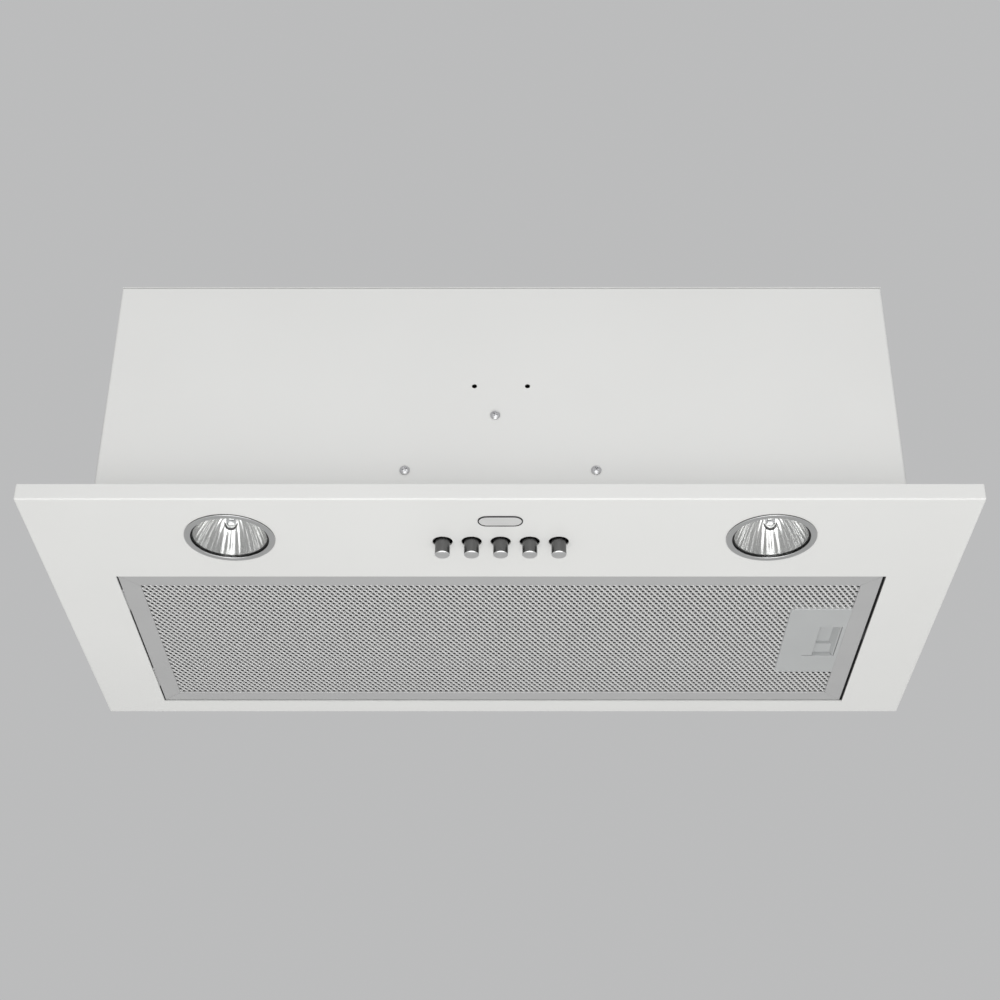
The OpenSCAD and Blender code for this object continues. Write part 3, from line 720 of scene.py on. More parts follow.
def rectangle(low: Point, high: Point, z: float) -> list[Point]:
    """Gives the corners of a level rectangle."""
    return [(low[0], low[1], z), (high[0], low[1], z), (high[0], high[1], z), (low[0], high[1], z)]


def arc(centre: Point, radius: float, start: float, end: float, steps: int = 5) -> list[Point]:
    """Gives points along an arc in an outline's plane."""
    turns = [math.radians(start + (end - start) * i / steps) for i in range(steps + 1)]
    return [(centre[0] + radius * math.cos(a), centre[1] + radius * math.sin(a)) for a in turns]


def corners(node: str) -> tuple[Vector, Vector]:
    """Returns the lowest and highest corner of a construction node's box."""
    low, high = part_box(node)
    return Vector(low), Vector(high)


def middle(node: str) -> Vector:
    """Returns the middle of a construction node's box."""
    low, high = corners(node)
    return (low + high) / 2


def dress(finish: Finish, *nodes: str) -> None:
    """Gives construction nodes that are shown as they are their finish.

    Args:
        finish: The finish.
        nodes: The nodes' names.
    """
    for name in nodes:
        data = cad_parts[name].data
        data.materials.clear()
        data.materials.append(finish.material())
        LOG.info("%s keeps its own shape, in %s", name, finish.name)


# ---- Sub-assemblies ----


@dataclass
class FacePanel:
    """The pressed steel face panel: one folded sheet with holes for lamps, buttons and filter.

    Attributes:
        sheet: The thickness of the sheet.
        fold: The outer radius of the folds.
        lip: The width of the lip that seats on the cabinet.
        margin: The width of the plain band round each hole's edge.
        lamp_hole: The radius of a lamp's hole.
        button_hole: The radius of a button's hole.
        opening_gaps: How far the filter opening lies outside the filter, as (left, right, ends).
    """

    sheet: float = 1 * MM
    fold: float = 1.1 * MM
    lip: float = 12 * MM
    margin: float = 0.9 * MM
    lamp_hole: float = 26.6 * MM
    button_hole: float = 6.5 * MM
    opening_gaps: tuple[float, float, float] = (0.8 * MM, 1.8 * MM, 0.8 * MM)

    def opening(self) -> tuple[Point, Point]:
        """Gives the filter opening's corners.

        Returns:
            Its lowest and highest x and y.
        """
        low, high = filter_box()
        left, right, ends = self.opening_gaps
        return (low.x - left, low.y - ends), (high.x + right, high.y + ends)

    def build(self) -> None:
        """Builds the panel and its finish."""
        low, high = corners("face_panel")
        form, edges = Form(), []
        open_low, open_high = self.opening()
        wide_low = [part - self.margin for part in open_low]
        wide_high = [part + self.margin for part in open_high]
        edges += form.ring(
            rectangle(open_low, open_high, low.z), rectangle(wide_low, wide_high, low.z)
        )
        for node, radius in hole_places(self.lamp_hole, self.button_hole):
            spot = middle(node)
            edges += form.ring(
                circle(spot, radius, low.z, 48), circle(spot, radius + self.margin, low.z, 48)
            )
        edge_in = 3 * self.fold
        inner = rectangle(
            (low.x + edge_in, low.y + edge_in), (high.x - edge_in, high.y - edge_in), low.z
        )
        inside, outside = form.loop(inner), form.loop(rectangle(low, high, low.z))
        bmesh.ops.bridge_loops(form.mesh, edges=inside + outside)
        form.fill(edges + inside)
        bmesh.ops.recalc_face_normals(form.mesh, faces=form.mesh.faces)
        form.face_down()
        self.fold_rim(form, outside, high.z - low.z)
        made = form.piece("face_panel_sheet", ENAMEL, replaces=["face_panel"], level=False)
        wall = made.modifiers.new("sheet", "SOLIDIFY")
        wall.thickness, wall.offset, wall.use_even_offset = self.sheet, -1, True
        soften(made, 0.15 * MM, 60)
        weigh(made)

    def fold_rim(self, form: Form, rim: list[bmesh.types.BMEdge], height: float) -> None:
        """Folds the rim up and its lip in, and rounds the folds.

        Args:
            form: The panel's sheet.
            rim: The sheet's outer edges.
            height: The rim's height.
        """
        for step in (Vector((0, 0, height)), None):
            made = bmesh.ops.extrude_edge_only(form.mesh, edges=rim)["geom"]
            verts = [item for item in made if isinstance(item, bmesh.types.BMVert)]
            rim = [
                item for item in made
                if isinstance(item, bmesh.types.BMEdge) and item.is_boundary
            ]
            for vert in verts:
                inward = Vector((-math.copysign(self.lip, vert.co.x),
                                 -math.copysign(self.lip, vert.co.y), 0))
                vert.co += step if step is not None else inward
        form.round(form.edges_where(lambda a, b: True, 60), self.fold, 3)


def filter_box() -> tuple[Vector, Vector]:
    """Gives the filter frame's box without its two tabs.

    Returns:
        The frame's lowest and highest corner.
    """
    low, high = corners("filter_frame")
    low.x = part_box("filter_mesh_lower")[0][0] - FilterUnit.bite
    return low, high


def hole_places(lamp_hole: float, button_hole: float) -> list[tuple[str, float]]:
    """Lists the panel's round holes."""
    lamps = [(f"lamp_glass_{side.value}", lamp_hole) for side in Side]
    return lamps + [(f"button_{number}", button_hole) for number in BUTTONS]


def soften(made: bpy.types.Object, width: float, angle: float) -> None:
    """Gives a piece a bevel on its sharp edges.

    Args:
        made: The piece.
        width: The bevel's width.
        angle: The least angle that it acts on, in degrees.
    """
    edge = made.modifiers.new("edge", "BEVEL")
    edge.width, edge.segments, edge.limit_method = width, 2, "ANGLE"
    edge.angle_limit = math.radians(angle)
    edge.harden_normals = False


class Side(Enum):
    """The two ends of the hood, as its nodes are named."""

    LEFT = "left"
    RIGHT = "right"


BUTTONS = range(1, 6)


@dataclass
class Body:
    """The steel box above the panel, with its screws and gland.

    Attributes:
        fold: The outer radius of the body's folds.
        wall: How deep under the outside the painted shade starts.
        head: The radius of a screw's head.
        crown: The height of the head's dome.
        slot: The half width of the cross recess.
        reach: The half length of the cross recess.
        recess: The depth of the cross recess.
    """

    fold: float = 1.2 * MM
    wall: float = 0.5 * MM
    head: float = 3.3 * MM
    crown: float = 2.0 * MM
    slot: float = 0.5 * MM
    reach: float = 1.75 * MM
    recess: float = 1.6 * MM

    def build(self) -> None:
        """Builds the walls, the screw heads and the gland."""
        low, high = corners("top_panel")
        form = Form.from_node("body_wrapper")
        front_fold = form.edges_where(
            lambda a, b: abs(a.y - low.y) < HAIR and abs(b.y - low.y) < HAIR
            and abs(abs(a.x) - high.x) < HAIR and abs(abs(b.x) - high.x) < HAIR
        )
        form.round(front_fold, self.fold, 4)
        # The walls' inside is painted near-black: painted shade for the inside of the closed box.
        coat = PaintedInsideShade(
            **{**asdict(ENAMEL), "name": "enamel_with_painted_inside_shade"},
            centre=((low.x + high.x) / 2, (low.y + high.y) / 2),
            half=((high.x - low.x) / 2 - self.wall, (high.y - low.y) / 2 - self.wall),
        )
        form.piece("body_walls", coat, replaces=["body_wrapper"])
        top = Form.from_node("top_panel")
        top.round(
            top.edges_where(
                lambda a, b: min(a.z, b.z) > high.z - HAIR
                and (a - b).length > 100 * MM
            ),
            0.5 * MM, 3,
        )
        top.piece("top_sheet", ENAMEL, replaces=["top_panel"])
        dress(ENAMEL, "rear_panel")
        dress(ZINC_SHEET, "filter_stops")
        dress(SCREW_ZINC, "top_screws", "collar_screws")
        self.front_screws()
        self.gland()

    def screw(self) -> Form:
        """Gives one pan-head screw that points up from z = 0.

        Returns:
            The screw.
        """
        form, neck = Form(), 1.7 * MM
        rim = arc((self.head - 0.7 * MM, 0.7 * MM), 0.7 * MM, -60, 20, 4)
        crown = [(0, self.crown), (0.45 * self.head, 0.96 * self.crown),
                 (0.75 * self.head, 0.8 * self.crown), (0.92 * self.head, 0.58 * self.crown)]
        outline = [(0, -6 * MM), (neck, -6 * MM), (neck, 0.02 * MM)] + rim + crown[::-1]
        form.lathe(outline, 28, closed=False)
        cross = Form()
        for wide, deep in ((self.reach, self.slot), (self.slot, self.reach)):
            base = self.crown - self.recess
            cross.box((-wide, -deep, base), (wide, deep, self.crown + MM))
        return carve(form, cross)

    def front_screws(self) -> None:
        """Builds the three screws in the front wall."""
        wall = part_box("top_panel")[0][1]
        screws, head = Form(), self.screw()
        for turn, spot in zip((20, 65, 40), lumps("front_screws")):
            one = Form().add(head).turn(turn, Axis.Z).turn(90, Axis.X)
            screws.add(one.move((spot.x, wall, spot.z)))
        screws.piece("front_wall_screws", SCREW_ZINC, replaces=["front_screws"])

    def gland(self) -> None:
        """Builds the supply cable's gland with its ribbed cap."""
        low, high = corners("cable_gland")
        spot, base = middle("cable_gland"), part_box("top_panel")[1][2]
        bore, hex_top, cap = 4 * MM, base + 6 * MM, 9.5 * MM
        form = Form()
        rows = [(bore, low.z), (8 * MM, low.z), (8 * MM, hex_top), (cap - 0.6 * MM, hex_top),
                (cap - 0.6 * MM, hex_top + 0.8 * MM), (cap, hex_top + 1.2 * MM),
                (cap, high.z - 3 * MM)]
        rows += arc((cap - 2.5 * MM, high.z - 2.5 * MM), 2.5 * MM, 0, 90, 6)
        rows += [(bore + 0.8 * MM, high.z), (bore, high.z - 0.8 * MM)]
        form.lathe(rows, 72)
        for turn in range(0, 360, 20):
            rib = Form()
            rib.box(
                (cap - 0.3 * MM, -0.6 * MM, hex_top + 1.6 * MM),
                (cap + 0.5 * MM, 0.6 * MM, high.z - 3 * MM),
            )
            form.add(rib.soften(0.25 * MM).turn(turn, Axis.Z))
        collar = Form()
        collar.lathe([(8 * MM, base), (12 * MM, base), (12 * MM, hex_top), (8 * MM, hex_top)], 6)
        form.add(collar.soften(0.4 * MM, 2, 35))
        form.move((spot.x, spot.y, 0)).piece(
            "cable_gland_cap", BLACK_MOULDING, replaces=["cable_gland"]
        )
        dress(BLACK_MOULDING, "gland_nut")


def lumps(node: str) -> list[Vector]:
    """Finds the middle of each separate solid of a construction node, from left to right.

    Args:
        node: The node's name.

    Returns:
        The middles.
    """
    form = Form.from_node(node)
    left, found = set(form.mesh.verts), []
    while left:
        front, lump = [left.pop()], []
        while front:
            vert = front.pop()
            lump.append(vert.co.copy())
            for edge in vert.link_edges:
                other = edge.other_vert(vert)
                if other in left:
                    left.remove(other)
                    front.append(other)
        low = [min(spot[axis] for spot in lump) for axis in range(3)]
        high = [max(spot[axis] for spot in lump) for axis in range(3)]
        found.append((Vector(low) + Vector(high)) / 2)
    form.mesh.free()
    return sorted(found, key=lambda spot: spot.x)


def carve(form: Form, cutter: Form) -> Form:
    """Cuts one form out of another.

    Args:
        form: What is cut.
        cutter: What is taken away.

    Returns:
        The cut form. Both old forms are spent.
    """
    objects = []
    for shape in (form, cutter):
        data = bpy.data.meshes.new("carve")
        bmesh.ops.recalc_face_normals(shape.mesh, faces=shape.mesh.faces)
        shape.mesh.to_mesh(data)
        shape.mesh.free()
        objects.append(bpy.data.objects.new("carve", data))
        bpy.context.scene.collection.objects.link(objects[-1])
    cut = objects[0].modifiers.new("cut", "BOOLEAN")
    cut.object, cut.operation, cut.solver = objects[1], "DIFFERENCE", "EXACT"
    cut.use_self = True
    view = bpy.context.evaluated_depsgraph_get()
    made, done = Form(), objects[0].evaluated_get(view)
    made.mesh.from_mesh(done.to_mesh())
    done.to_mesh_clear()
    for spent in objects:
        data = spent.data
        bpy.data.objects.remove(spent)
        bpy.data.meshes.remove(data)
    return made


@dataclass
class Lamp:
    """One halogen spot lamp: bezel, glass, fluted reflector and capsule.

    Attributes:
        side: The end of the hood that it is at.
        flutes: How many flutes the reflector has.
        scallop: How deep the flutes are, as a share of the radius.
        rise: The height of the reflector's bowl.
        neck: The outer radius of its neck.
        bore: The radius of the hole that the capsule stands in.
        fade: How far behind the bowl's round rim the flutes are at full depth.
        tube_wall: The wall of the bezel's tube.
        dome: How far the glass bulges.
        proud: How far the bezel stands below the panel.
        face: How far up from its lowest point the bezel is bright; above that its side carries a
            painted dark reflection.
        sunk: How far the glass's seat lies behind the panel's face.
    """

    side: Side
    flutes: int = 30
    scallop: float = 0.022
    rise: float = 18 * MM
    neck: float = 8.5 * MM
    bore: float = 5 * MM
    fade: float = 3 * MM
    tube_wall: float = 0.8 * MM
    dome: float = 0.3 * MM
    proud: float = 1.0 * MM
    face: float = 0.3 * MM
    sunk: float = 0.1 * MM

    def build(self) -> None:
        """Builds the lamp's visible pieces."""
        end = self.side.value
        names = {part: f"lamp_{part}_{end}" for part in ("bezel", "glass", "reflector")}
        spot = middle(names["glass"])
        place = (spot.x, spot.y, 0)
        # The bezel's side above its front face is painted near-black: a painted dark reflection.
        nickel = PaintedDarkSide(
            f"satin_nickel_{end}", "bezel_metal", (0.76, 0.765, 0.765), 0.33, 1.0, mottle=0.04,
            grain=0.3 * MM, depth=0.004 * MM, centre=place, side=(0.09, 0.09, 0.09),
            end=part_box("face_panel")[0][2] - self.proud + self.face,
        )
        self.bezel(names["bezel"]).move(place).piece(
            f"bezel_ring_{end}", nickel, replaces=[names["bezel"]]
        )
        self.glass(names["glass"]).move(place).piece(
            f"glass_disc_{end}", GLASS, replaces=[names["glass"]]
        )
        self.bowl(names["reflector"]).move(place).piece(
            f"mirror_bowl_{end}", MIRROR, replaces=[names["reflector"]]
        )

    def bezel(self, node: str) -> Form:
        """Turns the bezel ring and its tube.

        Args:
            node: The bezel's construction node.

        Returns:
            The ring, centred on the Z axis.
        """
        low, high = corners(node)
        rim, face = (high.x - low.x) / 2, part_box("face_panel")[0][2]
        tube, seat = 26.4 * MM, face + self.sunk
        lip, roll, edge, front = 25 * MM, 0.3 * MM, 0.3 * MM, face - self.proud
        outline = [(lip, seat - 0.05 * MM), (lip, front + roll)]
        outline += arc((lip + roll, front + roll), roll, 200, 270, 3)
        outline += arc((rim - edge, front + 1.2 * edge), edge, 275, 355, 4)
        outline += [(rim, face), (tube, face), (tube, high.z)]
        outline += [(tube - self.tube_wall, high.z), (tube - self.tube_wall, seat)]
        form = Form()
        form.lathe(outline, 96)
        return form

    def glass(self, node: str) -> Form:
        """Turns the glass disc with a slight bulge.

        Args:
            node: The glass's construction node.

        Returns:
            The disc, centred on the Z axis.
        """
        low, high = corners(node)
        rim = (high.x - low.x) / 2
        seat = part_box("face_panel")[0][2] + self.sunk
        shares = [step / 6 for step in range(7)]
        bulge = [(rim * share, seat - self.dome * (1 - share ** 2)) for share in shares]
        form = Form()
        form.lathe(bulge + [(rim, high.z), (0, high.z)], 72, closed=False)
        return form

    def bowl(self, node: str) -> Form:
        """Turns the reflector and flutes it.

        Args:
            node: The reflector's construction node.

        Returns:
            The bowl, centred on the Z axis.
        """
        low, high = corners(node)
        rim, neck, wall, steps = (high.x - low.x) / 2, self.neck, 1.2 * MM, 14
        bowl = [
            (neck + (rim - neck) * (1 - i / steps), low.z + self.rise * (1 - (1 - i / steps) ** 2))
            for i in range(steps + 1)
        ]
        inner = [(r - wall, z) for r, z in bowl[:-1]] + [(self.bore, bowl[-1][1] - wall)]
        form = Form()
        form.lathe([(self.bore, high.z)] + inner[::-1] + bowl + [(neck, high.z)], self.flutes * 6)
        for vert in form.mesh.verts:
            lift = vert.co.z - low.z
            if lift > self.rise or math.hypot(vert.co.x, vert.co.y) < neck:
                continue
            turn = math.atan2(vert.co.y, vert.co.x) * self.flutes / 2
            fade = min(lift / self.fade, 1.0)
            squeeze = 1 - fade * self.scallop * (1 - abs(math.sin(turn)))
            vert.co.x, vert.co.y = vert.co.x * squeeze, vert.co.y * squeeze
        return form


@dataclass
class LampInside:
    """What both lamps hold behind their glass: capsules, sockets and cans.

    Attributes:
        bulb: The radius of a capsule.
        reach: How far a capsule's tip reaches below its place in the construction.
        wire: The radius of the filament and its posts.
        apart: How far each post stands from the capsule's axis.
        half_coil: Half the filament's length.
    """

    bulb: float = 4.4 * MM
    reach: float = 7.2 * MM
    wire: float = 0.6 * MM
    apart: float = 1.6 * MM
    half_coil: float = 2 * MM

    def build(self) -> None:
        """Builds the capsules with their filaments and dresses the rest."""
        capsules, posts = Form(), Form()
        low, high = corners("lamp_capsules")
        for spot in lumps("lamp_capsules"):
            one, coil = Form(), Form()
            tip = low.z - self.reach + self.bulb
            dome = arc((0, tip), self.bulb, -90, 0, 8)
            base = [(self.bulb, high.z), (0, high.z)]
            one.lathe([(0, tip - self.bulb)] + dome[1:] + base, 32, closed=False)
            capsules.add(one.move((spot.x, spot.y, 0)))
            for way in (-self.apart, self.apart):
                post = Form()
                post.rod(self.wire, tip, high.z, 10)
                posts.add(post.move((spot.x + way, spot.y, 0)))
            coil.rod(self.wire, -self.half_coil, self.half_coil, 12)
            posts.add(coil.turn(90, Axis.Y).move((spot.x, spot.y, tip + MM)))
        capsules.piece("capsule_bulbs", GLASS, replaces=["lamp_capsules"])
        posts.piece("filament_posts", SPRING_STEEL)
        dress(CERAMIC, "lamp_sockets")
        dress(ZINC_SHEET, "lamp_cans")


@dataclass
class Button:
    """One turned push button.

    Attributes:
        number: Its number, from the left.
        radius: Its radius.
        chamfer: The width of the chamfer at its tip.
        groove: The depth of the rings turned into its end.
        rings: How many bands its end has.
        top: How far its head reaches above the switch's face.
        stem: The radius of the stem above the head.
        shoulder: The radius of its shoulder.
        seat: How far the shoulder lies above the switch's face.
    """

    number: int
    radius: float = 4.8 * MM
    chamfer: float = 0.45 * MM
    groove: float = 0.12 * MM
    rings: int = 5
    top: float = 10 * MM
    stem: float = 1.4 * MM
    shoulder: float = 5.7 * MM
    seat: float = 3.3 * MM

    def build(self) -> None:
        """Turns the button and gives it its turned finish."""
        node = f"button_{self.number}"
        low, high = corners(node)
        spot, radius, tip = middle(node), self.radius, low.z
        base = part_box("switch_body")[0][2]
        top, seat = base + self.top, base + self.seat
        outline, rim = [(0, tip + self.groove)], radius - self.chamfer
        for ring in range(1, self.rings):
            level = tip + self.groove * (ring % 2)
            outline += [(radius * part / self.rings, level) for part in (ring - 0.5, ring)]
        outline += [(rim - 0.1 * MM, tip), (rim, tip + 0.03 * MM), (radius, tip + self.chamfer)]
        outline += [(radius, top), (self.stem, top), (self.stem, high.z), (0, high.z)]
        form, collar = Form(), Form()
        form.lathe(outline, 64, closed=False)
        section = [(radius, seat), (self.shoulder, seat), (self.shoulder, seat + 2 * MM)]
        collar.lathe(section + [(radius, seat + 2 * MM)], 48)
        form.add(collar)
        # Above the chamfer the button's side is painted dark: a painted dark reflection; only the
        # end stays bright.
        chrome = PaintedDarkSide(
            f"turned_chrome_{self.number}", "button_chrome", (0.85, 0.85, 0.85), 0.36, 1.0,
            mottle=0.03, spread=0.1, depth=0.008 * MM, centre=(spot.x, spot.y, 0),
            end=tip + self.chamfer,
        )
        form.move((spot.x, spot.y, 0)).piece(
            f"push_button_cap_{self.number}", chrome, f"push_button_{self.number}", [node], 28
        )


@dataclass
class SwitchUnit:
    """The push-button switch on its bracket, and the five buttons."""

    def build(self) -> None:
        """Builds the buttons and dresses the rest."""
        for number in BUTTONS:
            Button(number).build()
        Form.from_node("switch_body").soften(0.25 * MM, 2, 60).piece(
            "switch_moulding", BLACK_MOULDING, replaces=["switch_body"]
        )
        dress(ZINC_SHEET, "switch_bracket")
        dress(BRASS, "switch_terminals")
        for number in BUTTONS:
            node = f"button_spring_{number}"
            low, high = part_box(node)
            spring(node, "hood", f"push_button_{number}", high, (*high[:2], low[2]))


@dataclass
class Badge:
    """The blank plate between the lamps, where a maker's name would be.

    Attributes:
        length: Its length.
        height: Its height.
        thick: Its thickness.
        set_y: How far it lies behind the panel's front edge.
        rim: The width of its raised rim.
        face: The thickness inside the rim.
    """

    length: float = 28.6 * MM
    height: float = 11.8 * MM
    thick: float = 0.8 * MM
    set_y: float = 26.1 * MM
    rim: float = 0.75 * MM
    face: float = 0.55 * MM

    def outline(self, inset: float, z: float, steps: int = 12) -> list[Point]:
        """Gives the plate's outline with round ends.

        Args:
            inset: How far inside the edge it runs.
            z: Its height.
            steps: How many steps each round end takes.

        Returns:
            The points.
        """
        radius = self.height / 2 - inset
        half = self.length / 2 - self.height / 2
        ends = arc((half, 0), radius, -90, 90, steps) + arc((-half, 0), radius, 90, 270, steps)
        return [(x, y, z) for x, y in ends]

    def build(self) -> None:
        """Builds the dark rim and the bare face."""
        low = Vector(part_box("face_panel")[0])
        place = (0, low.y + self.set_y, low.z)
        rim, plate = Form(), Form()
        rim.ring(self.outline(self.rim, -self.thick), self.outline(0, -self.thick))
        rim.push(rim.mesh.faces[:], (0, 0, self.thick))
        plate.push([plate.flat(self.outline(self.rim, -self.face))], (0, 0, self.face))
        for form, round_r, name, finish in (
            (rim, 0.2 * MM, "badge_rim", BLACK_MOULDING),
            (plate, 0.12 * MM, "badge_plate", BADGE_FACE),
        ):
            form.tidy()
            form.soften(round_r, 2, 60).move(place).piece(name, finish)


@dataclass
class ExpandedSheet:
    """A sheet of expanded aluminium: staggered rows of holes between raised slanting strands.

    Attributes:
        pitch: The distance from hole to hole along a row.
        across: The half width of a hole, across the raised strands.
        along: The half width of a hole, along the raised strands.
        dip: How far the cross strands lie above the raised ones.
        thick: The thickness of the strands.
        slant: The direction of the raised strands, in degrees.
    """

    pitch: float = 4.0 * MM
    across: float = 1.22 * MM
    along: float = 1.38 * MM
    dip: float = 0.42 * MM
    thick: float = 0.35 * MM
    slant: float = 60.0

    def cell(self) -> Form:
        """Makes one cell: a six-sided ring round a hole, bent where it crosses.

        Returns:
            The cell, centred on the origin.
        """
        form, reach = Form(), self.pitch / math.sqrt(3)
        bmesh.ops.create_circle(form.mesh, cap_ends=True, segments=6, radius=reach)
        form.turn(30, Axis.Z)
        way = Vector((math.cos(math.radians(self.slant)), math.sin(math.radians(self.slant)), 0))
        side = way.cross(Vector(Axis.Z.value))
        crossing = [
            edge for edge in form.mesh.edges
            if abs(((edge.verts[0].co + edge.verts[1].co) / 2).normalized().dot(way)) > 0.9
        ]
        bmesh.ops.subdivide_edges(form.mesh, edges=crossing, cuts=1)
        outer = set(form.mesh.verts)
        hole = form.mesh.faces[:]
        bmesh.ops.inset_individual(form.mesh, faces=hole, thickness=reach / 3)
        bmesh.ops.delete(form.mesh, geom=hole, context="FACES_ONLY")
        for vert in form.mesh.verts:
            flat = Vector((vert.co.x, vert.co.y, 0))
            share = abs(flat.normalized().dot(way))
            if vert in outer:
                vert.co.z = self.dip if share > 0.95 else 0.0
                continue
            turn = math.atan2(flat.dot(side), flat.dot(way))
            vert.co = way * self.along * math.cos(turn) + side * self.across * math.sin(turn)
            vert.co.z = self.dip * (0.35 + 0.65 * share ** 4)
        return form

    def sheet(self, low: Point, high: Point, z: float, keep: Callable[[Vector], bool]) -> Form:
        """Repeats the cell over a rectangle.

        Args:
            low: The rectangle's lowest x and y.
            high: Its highest x and y.
            z: The height of the raised strands' face.
            keep: Tells whether a cell at a place is wanted.

        Returns:
            The sheet's lower face.
        """
        rise = self.pitch * math.sqrt(3) / 2
        columns = int((high[0] - low[0]) / self.pitch) + 1
        rows = int((high[1] - low[1]) / rise) + 1
        unit, row = self.cell(), Form()
        for column in range(columns):
            row.add(unit)
            unit.move((self.pitch, 0, 0))
        whole = Form()
        for number in range(rows):
            shift = self.pitch / 2 if number % 2 else 0.0
            copy = Form().add(row)
            whole.add(copy.move((low[0] + shift, low[1] + number * rise, z)))
            copy.mesh.free()
        row.mesh.free()
        spots = [(face, face.calc_center_median()) for face in whole.mesh.faces]
        unwanted = [face for face, spot in spots if not (within(spot, low, high) and keep(spot))]
        bmesh.ops.delete(whole.mesh, geom=unwanted, context="FACES")
        bmesh.ops.remove_doubles(whole.mesh, verts=whole.mesh.verts, dist=0.02 * MM)
        whole.face_down()
        return whole


@dataclass
class FilterUnit:
    """The drop-down grease filter: mitred border, expanded sheets and folded core.

    Attributes:
        border: The width of the border.
        wall: The thickness of the border's profile.
        seam: The half width of the mitre seam.
        slot: The half width of the slot for the latch's tongue.
        tab: The width of a tab.
        tab_pitch: The distance between the two tabs.
    """

    bite = 6 * MM
    border: float = 13 * MM
    wall: float = 0.8 * MM
    seam: float = 0.13 * MM
    slot: float = 8.5 * MM
    tab: float = 24 * MM
    tab_pitch: float = 120 * MM

    def build(self) -> None:
        """Builds the border and both sheets, and dresses the core."""
        low, high = filter_box()
        self.frame(low, high)
        # The lower sheet's cross strands, lying deeper than its raised strands, get painted shade.
        mesh = PaintedDepthShade(
            "expanded_aluminium", "filter_mesh", (0.86, 0.86, 0.855), 0.42, 0.2, mottle=0.08,
            mottle_size=2 * MM, depth=0.02 * MM, top=low.z + self.wall + 0.12 * MM,
            bottom=low.z + self.wall + 0.55 * MM, dark=(0.3, 0.3, 0.3),
        )
        self.lower_sheet(low, high, mesh)
        coarse = ExpandedSheet(pitch=9 * MM, across=2.9 * MM, along=3.3 * MM)
        top = Vector(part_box("filter_mesh_upper")[1])
        form = coarse.sheet(
            (low.x + self.bite, low.y + self.bite), (high.x - self.bite, high.y - self.bite),
            top.z - coarse.dip - coarse.thick, self.outside_latch(0.0),
        )
        # The upper sheet lies wholly above the painted shade's bottom height, so it is painted in
        # that shade all over.
        made = form.piece("upper_expanded_sheet", mesh, "filter", ["filter_mesh_upper"], 80, False)
        thicken(made, coarse.thick)
        dress(CORE_IN_PAINTED_SHADE, "filter_core")

    def outside_latch(self, inside: float) -> Callable[[Vector], bool]:
        """Gives the test that keeps a sheet clear of the latch housing."""
        low, high = corners("latch_housing")
        return lambda spot: not (
            spot.x > low.x + inside and low.y + inside < spot.y < high.y - inside
        )

    def lower_sheet(self, low: Vector, high: Vector, finish: Finish) -> None:
        """Builds the sheet that faces the kitchen, in two halves.

        Args:
            low: The border's lowest corner.
            high: The border's highest corner.
            finish: The sheet's finish.
        """
        expanded, split = ExpandedSheet(), (low.x + high.x) / 2
        reach = self.border - 3 * MM
        clear = self.outside_latch(2.5 * MM)
        for side in Side:
            left = side is Side.LEFT
            form = expanded.sheet(
                (low.x + reach, low.y + reach), (high.x - reach, high.y - reach),
                low.z + self.wall + 0.05 * MM,
                lambda spot: clear(spot) and (spot.x < split) == left,
            )
            stands_for = ["filter_mesh_lower"] if left else []
            name = f"lower_expanded_{side.value}"
            made = form.piece(name, finish, "filter", stands_for, 80, False)
            thicken(made, expanded.thick)

    def frame(self, low: Vector, high: Vector) -> None:
        """Builds the four mitred lengths of the border's channel.

        Args:
            low: The border's lowest corner.
            high: The border's highest corner.
        """
        centre = (low + high) / 2
        size = high - low
        form = Form()
        for turn in range(4):
            length, offset = (size.x, size.y / 2) if turn % 2 == 0 else (size.y, size.x / 2)
            rail = self.rail(length, size.z)
            rail.move((0, -offset, 0)).turn(90 * turn, Axis.Z).move((centre.x, centre.y, low.z))
            if turn == 1:
                sill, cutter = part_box("latch_slider")[0][2], Form()
                cutter.box(
                    (high.x - self.border - MM, centre.y - self.slot, sill - 0.4 * MM),
                    (high.x + MM, centre.y + self.slot, sill + 2 * MM),
                )
                rail = carve(rail, cutter)
            form.add(rail)
        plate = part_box("filter_frame")[0][0]
        for way in (-1, 1):
            tab, y = Form(), centre.y + way * self.tab_pitch / 2
            z, half = low.z + 0.55 * MM, self.tab / 2
            tab.box((plate, y - half, z), (low.x + 2 * self.wall, y + half, z + 1.2 * MM))
            form.add(tab.soften(0.35 * MM))
        form.piece("filter_border_channel", BORDER, "filter", ["filter_frame"])

    def rail(self, length: float, height: float) -> Form:
        """Makes one length of the channel, with mitred ends, its back at y = 0.

        Args:
            length: Its outer length.
            height: Its height.

        Returns:
            The rail, centred along X, with its open side towards +Y.
        """
        wall, wide = self.wall, self.border
        section = [(0, 0), (wide, 0), (wide, wall), (wall, wall), (wall, height - wall),
                   (wide, height - wall), (wide, height), (0, height)]
        form = Form()
        form.push([form.flat([(-length / 2, y, z) for y, z in section])], (length, 0, 0))
        for vert in form.mesh.verts:
            vert.co.x -= math.copysign(vert.co.y + self.seam, vert.co.x)
        form.tidy()
        long_edges = form.edges_where(
            lambda a, b: abs(a.x - b.x) > length / 2 and min(a.z, b.z) < HAIR, 40
        )
        form.round(long_edges, 0.35 * MM, 3)
        form.round(
            form.edges_where(
                lambda a, b: abs(a.x - b.x) < 1.2 * wide and max(a.z, b.z) < 0.02 * MM
                and abs(a.y - b.y) > wide / 2
            ),
            0.12 * MM, 1,
        )
        return form


def within(spot: Point, low: Point, high: Point) -> bool:
    """Returns whether a place lies over the rectangle between two corners."""
    return low[0] < spot[0] < high[0] and low[1] < spot[1] < high[1]


def thicken(made: bpy.types.Object, thick: float) -> None:
    """Gives a sheet its thickness, upward from its lower face."""
    wall = made.modifiers.new("strand", "SOLIDIFY")
    wall.thickness, wall.offset = thick, -1


